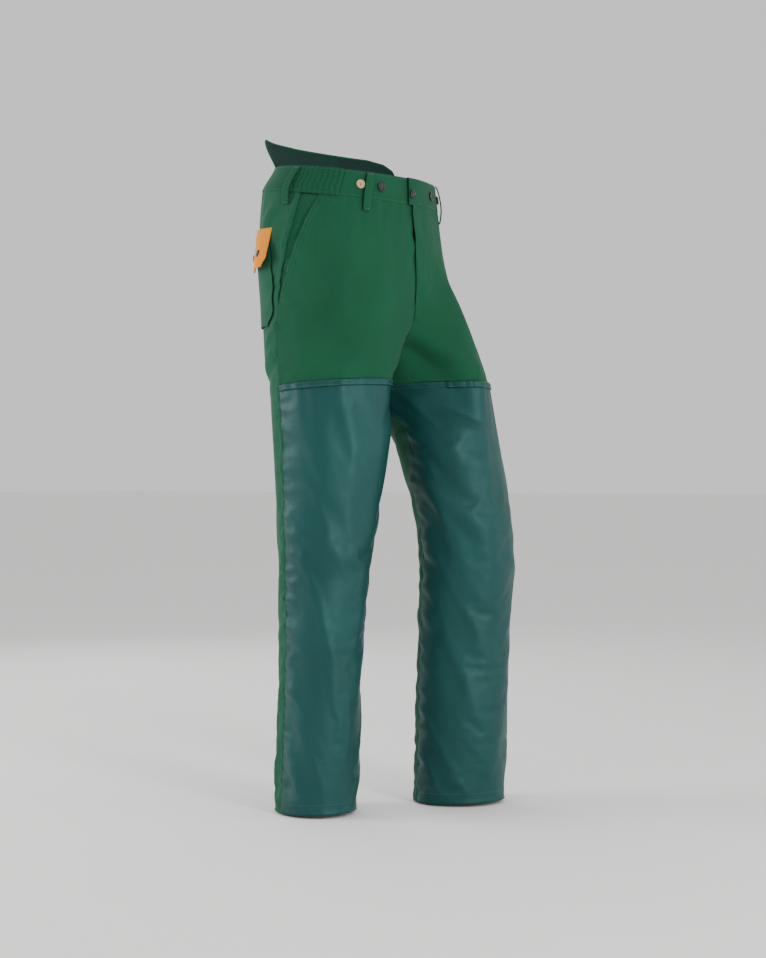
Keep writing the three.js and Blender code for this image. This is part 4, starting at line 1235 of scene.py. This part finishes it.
class TROUSERS_OT_belt_loops(bpy.types.Operator):
    """Makes the seven belt loops with their edge stitching and bar tacks"""

    bl_idname = "trousers.belt_loops"
    bl_label = "Belt Loops"

    def execute(self, context):
        form, sizes = setup()
        tacks, edging = [], []
        for tag, side, at in LOOPS:
            here = side or LEFT
            half = float(form.to_s(here, at, form.waist_seam / 2, sizes.loop_width / 2))
            if side:
                side_of = side
                s_of = lambda u, v: at - half + 2 * half * u
            else:
                side_of = lambda u, v: np.where(u < 0.5, LEFT, RIGHT)
                s_of = lambda u, v: 1 - np.abs(2 * u - 1) * half
            z_of = lambda u, v: -0.001 - sizes.loop_drop * v

            def depth_of(u, v, s, z):
                folded = 0.0009 * (1 - np.abs(2 * u - 1) ** 6)
                return loop_depth(form, sizes, here, s, z) - 0.0006 - folded * 0.7

            laid = lay(f"belt_loop_{tag}_cloth", form, side_of, s_of, z_of, depth_of,
                       (sizes.loop_width, sizes.loop_drop), 0.0022, even=True)
            loop = finish_cloth(laid, 0.0013, [f"belt_loop_{tag}"], "green_twill")
            surface = Surface(loop)
            if side:
                for across in (-0.66, 0.66):
                    z = np.linspace(-0.004, 0.001 - sizes.loop_drop + 0.002, 16)
                    edging.append(points_on(surface, form, side, at + half * across + 0 * z, z, 0.010))
                for level in (-0.0045, 0.0035 - sizes.loop_drop - 0.001):
                    for drop in (-0.0007, 0, 0.0007):
                        s = np.linspace(at - 0.8 * half, at + 0.8 * half, 5)
                        tacks.append(points_on(surface, form, side, s, level + drop, 0.010))
        sew("belt_loop_edging", edging, 0.6 * MM, "green_thread")
        sew("belt_loop_bar_tacks", tacks, 0.8 * MM, "green_thread")
        return {"FINISHED"}


BUTTON_RADIUS = 0.0075
BUTTON_THICK = 0.0028
SHANK = 0.0012

BRACE_BUTTONS = (
    ("front_right_outer", RIGHT, -0.545, "cream_button", "brown_thread"),
    ("front_right_inner", RIGHT, -0.70, "dark_button", "green_thread"),
    ("front_left_outer", LEFT, -0.455, "dark_button", "green_thread"),
    ("front_left_inner", LEFT, -0.79, "dark_button", "green_thread"),
    ("back_left", LEFT, 0.85, "dark_button", "green_thread"),
    ("back_right", RIGHT, 0.85, "dark_button", "green_thread"),
)


def turned(profile, steps):
    """A closed shape turned about +Z from pairs of radius and height."""
    bm = bmesh.new()
    rim = [bm.verts.new((radius, 0, height)) for radius, height in profile]
    edges = [bm.edges.new(pair) for pair in zip(rim, rim[1:])]
    bmesh.ops.spin(bm, geom=rim + edges, cent=(0, 0, 0), axis=(0, 0, 1), angle=math.tau, steps=steps,
                   use_merge=True)
    bmesh.ops.remove_doubles(bm, verts=bm.verts[:], dist=0.02 * MM)
    bmesh.ops.holes_fill(bm, edges=[edge for edge in bm.edges if edge.is_boundary], sides=0)
    bmesh.ops.recalc_face_normals(bm, faces=bm.faces[:])
    return bm


def button_mesh(shank):
    """A turned four-hole button with a raised rim, a dished middle and its shank of thread."""
    top = shank + BUTTON_THICK
    profile = [
        (0.0001, top - 0.0011),
        (0.0044, top - 0.0010),
        (0.0050, top - 0.0004),
        (0.0058, top),
        (0.0068, top - 0.0001),
        (BUTTON_RADIUS, top - 0.0009),
        (BUTTON_RADIUS, top - 0.0018),
        (0.0062, shank),
        (0.0022, shank),
        (0.0020, 0.0),
        (0.0001, 0.0),
    ]
    bm = turned(profile, steps=40)
    holes = bmesh.new()
    for turn in range(4):
        angle = math.radians(45 + 90 * turn)
        at = Matrix.Translation((0.0021 * math.cos(angle), 0.0021 * math.sin(angle), top - 0.0012))
        bmesh.ops.create_cone(holes, cap_ends=True, segments=14, radius1=0.0009, radius2=0.0009,
                              depth=0.0030, matrix=at)
    button = mesh_object("button_blank", bm, finish_of("dark_button"))
    cutter = mesh_object("button_holes", holes, finish_of("dark_button"))
    drill = button.modifiers.new("holes", "BOOLEAN")
    drill.object = cutter
    drill.solver = "EXACT"
    bpy.context.view_layer.update()
    mesh = bpy.data.meshes.new_from_object(button.evaluated_get(bpy.context.evaluated_depsgraph_get()))
    bpy.data.objects.remove(button)
    bpy.data.objects.remove(cutter)
    return mesh


def basis_on(place, outward):
    """A frame on the cloth: across, up and outward."""
    across = Vector((0, 0, 1)).cross(outward).normalized()
    up = outward.cross(across)
    turn = Matrix((across, up, outward)).transposed().to_4x4()
    return Matrix.Translation(place) @ turn


def place_button(name, mesh, spot, finish, thread, shank):
    shape = mesh.copy()
    shape.name = name
    shape.transform(spot)
    shape.materials.clear()
    shape.materials.append(finish_of(finish))
    for polygon in shape.polygons:
        polygon.use_smooth = True
    obj = bpy.data.objects.new(f"{name}_moulded", shape)
    bpy.context.scene.collection.objects.link(obj)
    creases = obj.modifiers.new("creases", "EDGE_SPLIT")
    creases.split_angle = math.radians(40)
    hand_over(obj, [name], finish)
    bm = bmesh.new()
    top = shank + BUTTON_THICK - 0.0009
    for row in (-0.0015, 0.0015):
        for lift in (-0.0004, 0.0004):
            strand = Matrix.Diagonal((0.0021, 0.00035, 0.0004, 1))
            local = Matrix.Translation((0, row + lift, top)) @ strand
            bmesh.ops.create_icosphere(bm, subdivisions=2, radius=1, matrix=spot @ local)
    stitches = mesh_object(f"{name}_thread", bm, finish_of(thread))
    hand_over(stitches, [], finish)


class TROUSERS_OT_buttons(bpy.types.Operator):
    """Makes the brace buttons and the waist button, sewn on with thread"""

    bl_idname = "trousers.buttons"
    bl_label = "Buttons"

    def execute(self, context):
        form, sizes = setup()
        blank = button_mesh(SHANK)
        level = -sizes.band_height / 2
        for tag, side, at, finish, thread in BRACE_BUTTONS:
            part = "front" if "front" in tag else "back"
            surface = Surface(*find(f"waistband_{part}_{SIDE_NAME[side]}_cloth"))
            (place, outward), = points_on(surface, form, side, [at], [level], 0.010)
            place_button(f"brace_button_{tag}", blank, basis_on(place, outward), finish, thread, SHANK)
        low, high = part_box("fly_button")
        long_shank = (high.y - low.y) - BUTTON_THICK
        spot = Vector(((low.x + high.x) / 2, high.y, (low.z + high.z) / 2))
        place_button("fly_button", button_mesh(long_shank), basis_on(spot, Vector((0, -1, 0))),
                     "dark_button", "green_thread", long_shank)
        return {"FINISHED"}


class TROUSERS_OT_fly(bpy.types.Operator):
    """Makes the fly: facing, underlap, zip tapes and the two rows of zip teeth"""

    bl_idname = "trousers.fly"
    bl_label = "Fly and Zip"

    def execute(self, context):
        form, sizes = setup()
        chain_low, chain_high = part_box("zip_teeth_left")
        chain_y = (chain_low.y + chain_high.y) / 2
        self.sheets(form, sizes, chain_y)
        self.teeth(chain_low, chain_high)
        for name in ("zip_slider", "zip_pull", "zip_bottom_stop"):
            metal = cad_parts[name]
            metal.data.materials.clear()
            metal.data.materials.append(finish_of("zip_metal"))
        return {"FINISHED"}

    def sheets(self, form, sizes, chain_y):
        def flat_depth(side, s, z, y):
            place, normal = form.point(side, s, z), form.normal(side, s, z)
            return (y - place[:, 1]) / np.maximum(0.5, -normal[:, 1])

        # behind the lapped front
        top, bottom = form.waist_seam - 0.0003, form.fly_bottom + 0.001
        z_of = downwards(top, bottom)
        near = lambda z: form.front_edge(LEFT, z) + form.to_s(LEFT, -1, z, 0.001)
        far = lambda z: -1 + form.to_s(LEFT, -1, z, 0.042)
        s_of = between(near, far, z_of)
        depth_of = lambda u, v, s, z: 0.0018 - form.fly_rise(LEFT, s, z) - relief(form, LEFT, s, z)
        laid = lay("fly_facing_cloth", form, LEFT, s_of, z_of, depth_of, (0.046, 0.165), 0.006, even=True)
        finish_cloth(laid, 0.0008, ["fly_facing"], "green_twill")

        # behind the zip, sewn to the button side
        def guard_s(u, v):
            z = guard_z(u, v)
            return -1 + form.to_s(RIGHT, -1, z, 1.0) * (-0.022 + 0.052 * u)

        def guard_z(u, v):
            return form.waist_seam - 0.003 + (form.fly_bottom + 0.006 - form.waist_seam + 0.003) * v

        def guard_depth(u, v, s, z):
            behind = flat_depth(RIGHT, s, z, chain_y + 0.0036)
            turned = np.clip((0.052 * u - 0.032) / 0.0125, 0, 1)
            joined = np.clip((0.052 * u - 0.0445) / 0.0075, 0, 1)
            return (behind * (1 - turned) + 0.0035 * turned) * (1 - joined) + 0.0020 * joined

        laid = lay("fly_underlap_cloth", form, RIGHT, guard_s, guard_z, guard_depth, (0.052, 0.155), 0.005,
                   even=True)
        finish_cloth(laid, 0.0011, ["fly_underlap"], "green_twill")

        # zip tapes
        for side in (LEFT, RIGHT):
            inner = 0.0031 - side * 0.003
            tape_z = lambda u, v: form.zip_top + 0.003 + (form.fly_bottom - form.zip_top - 0.001) * v
            tape_s = lambda u, v: -1 + form.to_s(side, -1, tape_z(u, v), 1.0) * (inner + 0.015 * u)

            def tape_depth(u, v, s, z):
                beside = flat_depth(side, s, z, chain_y - 0.0004)
                joined = smooth((u - 0.36) / 0.5)
                sewn = (0.0031 if side == LEFT else 0.0016) - form.fly_rise(side, s, z)
                return beside * (1 - joined) + sewn * joined

            laid = lay(f"zip_tape_{SIDE_NAME[side]}_woven", form, side, tape_s, tape_z, tape_depth,
                       (0.015, 0.17), 0.004, even=True)
            finish_cloth(laid, 0.0006, [f"zip_tape_{SIDE_NAME[side]}"], "zip_tape")

    def teeth(self, low, high):
        pitch, tooth = 0.0024, 0.0015
        for side in (LEFT, RIGHT):
            name = f"zip_teeth_{SIDE_NAME[side]}"
            near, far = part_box(name)
            bm = bmesh.new()
            level = low.z + (pitch / 2 if side == RIGHT else 0) + tooth
            while level < high.z - tooth:
                middle = Vector(((near.x + far.x) / 2, (low.y + high.y) / 2, level))
                shape = Matrix.Diagonal((far.x - near.x, high.y - low.y, tooth, 1))
                bmesh.ops.create_cube(bm, size=1, matrix=Matrix.Translation(middle) @ shape)
                level += pitch
            bmesh.ops.bevel(bm, geom=bm.edges[:], offset=0.00025, affect="EDGES", segments=1, profile=0.5,
                            material=-1)
            teeth = mesh_object(f"{name}_moulded", bm, finish_of("zip_metal"))
            hand_over(teeth, [name], "zip_metal")


POCKET_FROM, POCKET_TO = 0.15, 0.60
POCKET_DROP = 0.150
FLAP_DROP = 0.063
FLAP_CORNER = 0.014  # height of its cut corners
FLAP_PROUD = 0.016  # stitches and caps are aimed from this far off the seat
STUDS = (("front", 0.245), ("back", 0.52))


def blend_flap(obj):
    """Bakes the object's placement into its mesh; the flap keeps the shape that it was laid in."""
    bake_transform(obj)


class TROUSERS_OT_back_pocket(bpy.types.Operator):
    """Makes the right back pocket, its orange flap and their press studs"""

    bl_idname = "trousers.back_pocket"
    bl_label = "Back Pocket and Flap"

    def execute(self, context):
        form, sizes = setup()
        pocket_top = form.waist_seam - 0.068
        pocket_low = pocket_top - POCKET_DROP
        flap_top = pocket_top + 0.010

        def inset(z, low, tall, corner):
            return corner * np.clip((low + tall - z) / tall, 0, 1)

        def pocket_s(u, v):
            trim = inset(pocket_z(u, v), pocket_low, 0.022, 0.07)
            return POCKET_FROM + trim + (POCKET_TO - POCKET_FROM - 2 * trim) * u

        pocket_z = downwards(pocket_top, pocket_low)
        pocket_depth = lambda u, v, s, z: -0.0018 - relief(form, RIGHT, s, z)
        laid = lay("back_pocket_cloth", form, RIGHT, pocket_s, pocket_z, pocket_depth, (0.15, 0.15), 0.0055)
        pocket = finish_cloth(laid, 0.0010, ["back_pocket"], "green_twill", "seat_twill")

        drop, tall = FLAP_DROP, FLAP_CORNER
        start, stop = POCKET_FROM - 0.02, POCKET_TO + 0.02
        flap_z = lambda u, v: flap_top - drop * v

        def flap_s(u, v):
            trim = inset(flap_z(u, v), flap_top - drop, tall, 0.07)
            return start + trim + (stop - start - 2 * trim) * u

        def flap_depth(u, v, s, z):
            t = (flap_top - z) / drop
            over = smooth((flap_top - 0.002 - z) / 0.006)
            stand = 0.012 - 0.007 * smooth((s - POCKET_FROM) / 0.3)
            sag = 0.0008 * np.sin(u * math.pi * 2.5) * t
            return -0.0018 - 0.0018 * over - stand * smooth(t * 1.1) - sag

        laid = lay("back_pocket_flap_cloth", form, RIGHT, flap_s, flap_z, flap_depth, (0.16, drop), 0.004)
        rounding = laid.obj.modifiers.new("rounding", "SUBSURF")
        rounding.levels = rounding.render_levels = 1
        rounding.boundary_smooth = "PRESERVE_CORNERS"
        wall = laid.obj.modifiers.new("thickness", "SOLIDIFY")
        wall.thickness = 0.0016
        wall.offset = -1
        laid.obj.data.materials.append(finish_of("orange_twill"))
        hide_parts("back_pocket_flap")
        blend_flap(laid.obj)

        self.stitch(form, laid.obj, pocket, flap_top, drop, pocket_top, pocket_low)
        self.studs(form, laid.obj, pocket, flap_top - 0.040)
        return {"FINISHED"}

    def stitch(self, form, flap, pocket, flap_top, drop, pocket_top, pocket_low):
        cloth = Surface(flap)
        start, stop = POCKET_FROM - 0.02, POCKET_TO + 0.02
        rows = []
        for level in (0.003, 0.013):
            s = np.linspace(start + 0.012, stop - 0.012, 24)
            rows.append(points_on(cloth, form, RIGHT, s, flap_top - level + 0 * s, FLAP_PROUD))
        edge = 0.014
        corners = [
            (start + edge, flap_top - 0.014), (start + edge, flap_top - drop + 0.018),
            (start + 0.07 + edge / 2, flap_top - drop + 0.004),
            (stop - 0.07 - edge / 2, flap_top - drop + 0.004),
            (stop - edge, flap_top - drop + 0.018), (stop - edge, flap_top - 0.014),
        ]
        s, z = from_corner_to_corner(corners, 9)
        rows.append(points_on(cloth, form, RIGHT, s, z, FLAP_PROUD))
        sew("back_pocket_flap_stitches", rows, 0.7 * MM, "orange_thread", blended=True)
        ground = Surface(pocket)
        inner = POCKET_FROM + 0.012, POCKET_TO - 0.012
        outline = [
            (inner[0], pocket_top - 0.002), (inner[0], pocket_low + 0.022),
            (inner[0] + 0.065, pocket_low + 0.002), (inner[1] - 0.065, pocket_low + 0.002),
            (inner[1], pocket_low + 0.022), (inner[1], pocket_top - 0.002),
        ]
        s, z = from_corner_to_corner(outline, 16)
        sew("back_pocket_stitches", [points_on(ground, form, RIGHT, s, z, 0.006)], 0.7 * MM, "green_thread")

    def studs(self, form, flap, pocket, level):
        cap_profile = [
            (0.0001, 0.0021), (0.0030, 0.0020), (0.0052, 0.0015), (0.0063, 0.0006), (0.0065, 0.0),
            (0.0001, 0.0),
        ]
        socket_profile = [
            (0.0001, 0.0026), (0.0026, 0.0025), (0.0030, 0.0022), (0.0030, 0.0010), (0.0052, 0.0009),
            (0.0055, 0.0), (0.0001, 0.0),
        ]
        for tag, at in STUDS:
            for kind, cloth, profile, body, proud in (
                ("cap", flap, cap_profile, "pocket_flap", FLAP_PROUD),
                ("socket", pocket, socket_profile, "trousers", 0),
            ):
                (place, outward), = points_on(Surface(cloth), form, RIGHT, [at], [level], proud)
                bm = turned(profile, steps=32)
                bmesh.ops.transform(bm, matrix=basis_on(place, outward), verts=bm.verts[:])
                stud = mesh_object(f"flap_stud_{kind}_{tag}_stamped", bm, finish_of("stud_metal"))
                hand_over(stud, [f"flap_stud_{kind}_{tag}"], "stud_metal", body)


class TROUSERS_OT_seams(bpy.types.Operator):
    """Sews the seams: the lapped thigh seam, side and inner seams, pockets, fly and hems"""

    bl_idname = "trousers.seams"
    bl_label = "Seams and Topstitching"

    def execute(self, context):
        form, sizes = setup()
        rows, band_rows = [], []
        for side in (LEFT, RIGHT):
            tag = SIDE_NAME[side]
            front, leg, back = find(*[f"{part}_panel_{tag}_cloth" for part in ("front", "leg", "back")])
            welt = self.thigh_welt(form, side)
            ridge = self.side_ridge(form, side)
            cloth = Surface(front, leg, back, welt)
            seam = partial(form.outer_seam, side)
            inner = partial(form.inner_seam, side)
            low = form.hem + 0.003
            for edge, width, high in (
                (seam, 0.0045, form.waist_seam - 0.002),
                (inner, 0.0050, form.thigh_seam - 0.006),
            ):
                rows.append(path_on(cloth, form, side, beside(form, side, edge, width), high, low))
            # the pocket mouth's two rows
            for width in (-0.003, -0.0095):
                mouth = beside(form, side, partial(form.pocket_mouth, side), width)
                rows.append(path_on(Surface(front), form, side, mouth, form.waist_seam - 0.002,
                                    form.waist_seam - 0.187))
            # hem and thigh seam
            s = np.linspace(-1, 1, 70)
            rows.append(points_on(cloth, form, side, s, form.hem + HEM_STITCH + 0 * s))
            for level in (form.thigh_seam + 0.0022, form.thigh_seam - 0.0048):
                s = np.linspace(float(form.inner_seam(side, level)) + 0.01, float(seam(level)) - 0.01, 60)
                rows.append(points_on(Surface(welt), form, side, s, level + 0 * s, 0.004))
            # waistband edges
            band = Surface(*find(*[f"waistband_{part}_{tag}_cloth" for part in ("front", "side", "back")]))
            for level in (-0.003, 0.0035 - sizes.band_height):
                s = np.linspace(-1, 1, 90)
                band_rows.append(points_on(band, form, side, s, level + 0 * s, 0.006))
        front = Surface(*find("front_panel_left_cloth"))
        # the fly's curved double row
        z = np.linspace(form.waist_seam - 0.003, form.fly_bottom + 0.012, 26)
        for width in (0.034, 0.040):
            curve = ((form.fly_bottom + 0.050 - z) / 0.045).clip(0, 1)
            bend = width * np.sqrt(np.clip(1 - curve**2, 0, 1))
            s = -1 + form.to_s(LEFT, -1, z, 1.0) * np.maximum(bend, 0.002)
            rows.append(points_on(front, form, LEFT, s, z, 0.006))
        sew("seam_topstitching", rows, sizes.thread, "green_thread")
        sew("waistband_topstitching", band_rows, sizes.thread, "green_thread")
        return {"FINISHED"}

    def thigh_welt(self, form, side):
        """The coated leg panel is folded over the front's edge in a raised double seam."""
        tag = SIDE_NAME[side]
        z_of = lambda u, v: form.thigh_seam + 0.0042 - 0.0115 * v
        near = beside(form, side, partial(form.inner_seam, side), 0.0006)
        far = beside(form, side, partial(form.outer_seam, side), -0.0006)
        s_of = between(near, far, z_of)

        def depth_of(u, v, s, z):
            rolls = 0.0021 * np.abs(np.sin(math.pi * np.clip(v * 2, 0, 2))) ** 0.6
            gathers = 0.0010 * puckers(s * 0.09, 0 * s, 1, 0.006, 61.0 + side)
            raised = -0.0010 - rolls * (0.8 + gathers / 0.0014)
            return raised - relief(form, side, s, z) - form.fly_rise(side, s, z)

        laid = lay(f"thigh_seam_{tag}_welt", form, side, s_of, z_of, depth_of, (0.28, 0.0115), 0.0016,
                   even=True)
        return finish_cloth(laid, 0.0007, [], "coated_nylon", refine=0)

    def side_ridge(self, form, side):
        """The back's edge is turned over the front's in a narrow felled ridge."""
        tag = SIDE_NAME[side]
        width = 0.0104
        z_of = downwards(form.waist_seam, form.hem)

        def s_of(u, v):
            z = z_of(u, v)
            seam = form.outer_seam(side, z)
            return seam + form.to_s(side, seam, z, 1.0) * (-0.0014 + width * u)

        def depth_of(u, v, s, z):
            return 0.0003 - 0.0010 * np.sin(math.pi * np.clip(u, 0, 1)) ** 0.5 - relief(form, side, s, z)

        laid = lay(f"side_seam_{tag}_ridge", form, side, s_of, z_of, depth_of, (width, 1.02), 0.0020,
                   even=True)
        return finish_cloth(laid, 0.0006, [], "green_twill", "seat_twill", refine=0)


class TROUSERS_OT_studio(bpy.types.Operator):
    """Makes the pale floor, the soft lights and the camera"""

    bl_idname = "trousers.studio"
    bl_label = "Studio"

    def execute(self, context):
        low = cad_box[0]
        bm = bmesh.new()
        bmesh.ops.create_grid(bm, x_segments=1, y_segments=1, size=60)
        floor = mesh_object("studio_floor", bm, finish_of("floor_paint"))
        floor.data.transform(Matrix.Translation((0, 0, low[2] - 0.002)))
        self.lights()
        self.camera()
        return {"FINISHED"}

    def lights(self):
        # bearing from the front, height, distance, width, power
        lamps = (
            ("key_light", -20, 0.6, 3.0, (0.6, 2.6), 62),
            ("side_light", -140, 0.9, 2.6, (1.4, 1.6), 48),
            ("fill_light", 30, 0.4, 3.2, (1.6, 2.0), 16),
            ("rim_light", 150, 1.2, 2.8, (1.6, 1.6), 20),
        )
        for name, bearing, height, distance, width, power in lamps:
            data = bpy.data.lights.new(name, "AREA")
            data.shape = "RECTANGLE"
            data.size, data.size_y = width
            data.energy = power
            lamp = bpy.data.objects.new(name, data)
            angle = math.radians(bearing)
            lamp.location = (distance * math.sin(angle), -distance * math.cos(angle), height - 0.5)
            aim = Vector((0, 0, -0.5)) - lamp.location
            lamp.rotation_euler = aim.to_track_quat("-Z", "Y").to_euler()
            bpy.context.scene.collection.objects.link(lamp)
        world = bpy.context.scene.world or bpy.data.worlds.new("studio")
        bpy.context.scene.world = world
        world.use_nodes = True
        backdrop = world.node_tree.nodes["Background"]
        backdrop.inputs["Color"].default_value = (1, 1, 1, 1)
        backdrop.inputs["Strength"].default_value = 0.85

    def camera(self):
        bearing = math.radians(-53)
        out = Vector((math.sin(bearing), -math.cos(bearing), 0))
        across = Vector((math.cos(bearing), math.sin(bearing), 0))
        data = bpy.data.cameras.new("studio_camera")
        data.sensor_fit = "VERTICAL"
        data.sensor_height = 36
        data.lens = 70.6
        camera = bpy.data.objects.new("studio_camera", data)
        camera.location = out * 3.224 + across * 0.0498 + Vector((0, 0, -0.517))
        camera.rotation_euler = (-out).to_track_quat("-Z", "Y").to_euler()
        bpy.context.scene.collection.objects.link(camera)
        bpy.context.scene.camera = camera


STEPS = (
    TROUSERS_OT_studio,
    TROUSERS_OT_panels,
    TROUSERS_OT_linings,
    TROUSERS_OT_side_pockets,
    TROUSERS_OT_waistband,
    TROUSERS_OT_kidney_flap,
    TROUSERS_OT_belt_loops,
    TROUSERS_OT_buttons,
    TROUSERS_OT_fly,
    TROUSERS_OT_back_pocket,
    TROUSERS_OT_seams,
)


class TROUSERS_PT_sidebar(bpy.types.Panel):
    """Lists the sizes, the colours and the steps that make the trousers"""

    bl_idname = "TROUSERS_PT_sidebar"
    bl_label = "Trousers"
    bl_space_type = "VIEW_3D"
    bl_region_type = "UI"
    bl_category = "Trousers"

    def draw(self, context):
        layout = self.layout
        for group in (context.scene.trousers_sizes, context.scene.trousers_colours):
            box = layout.box()
            for name in group.bl_rna.properties.keys():
                if name not in ("rna_type", "name"):
                    box.prop(group, name)
        for step in STEPS:
            layout.operator(step.bl_idname)


CLASSES = (TrousersSizes, TrousersColours, *STEPS, TROUSERS_PT_sidebar)


def register():
    for cls in CLASSES:
        bpy.utils.register_class(cls)
    bpy.types.Scene.trousers_sizes = bpy.props.PointerProperty(type=TrousersSizes)
    bpy.types.Scene.trousers_colours = bpy.props.PointerProperty(type=TrousersColours)


def unregister():
    del bpy.types.Scene.trousers_colours
    del bpy.types.Scene.trousers_sizes
    for cls in reversed(CLASSES):
        bpy.utils.unregister_class(cls)


def main():
    register()
    for step in STEPS:
        category, name = step.bl_idname.split(".")
        getattr(getattr(bpy.ops, category), name)()


if __name__ == "__main__":
    main()
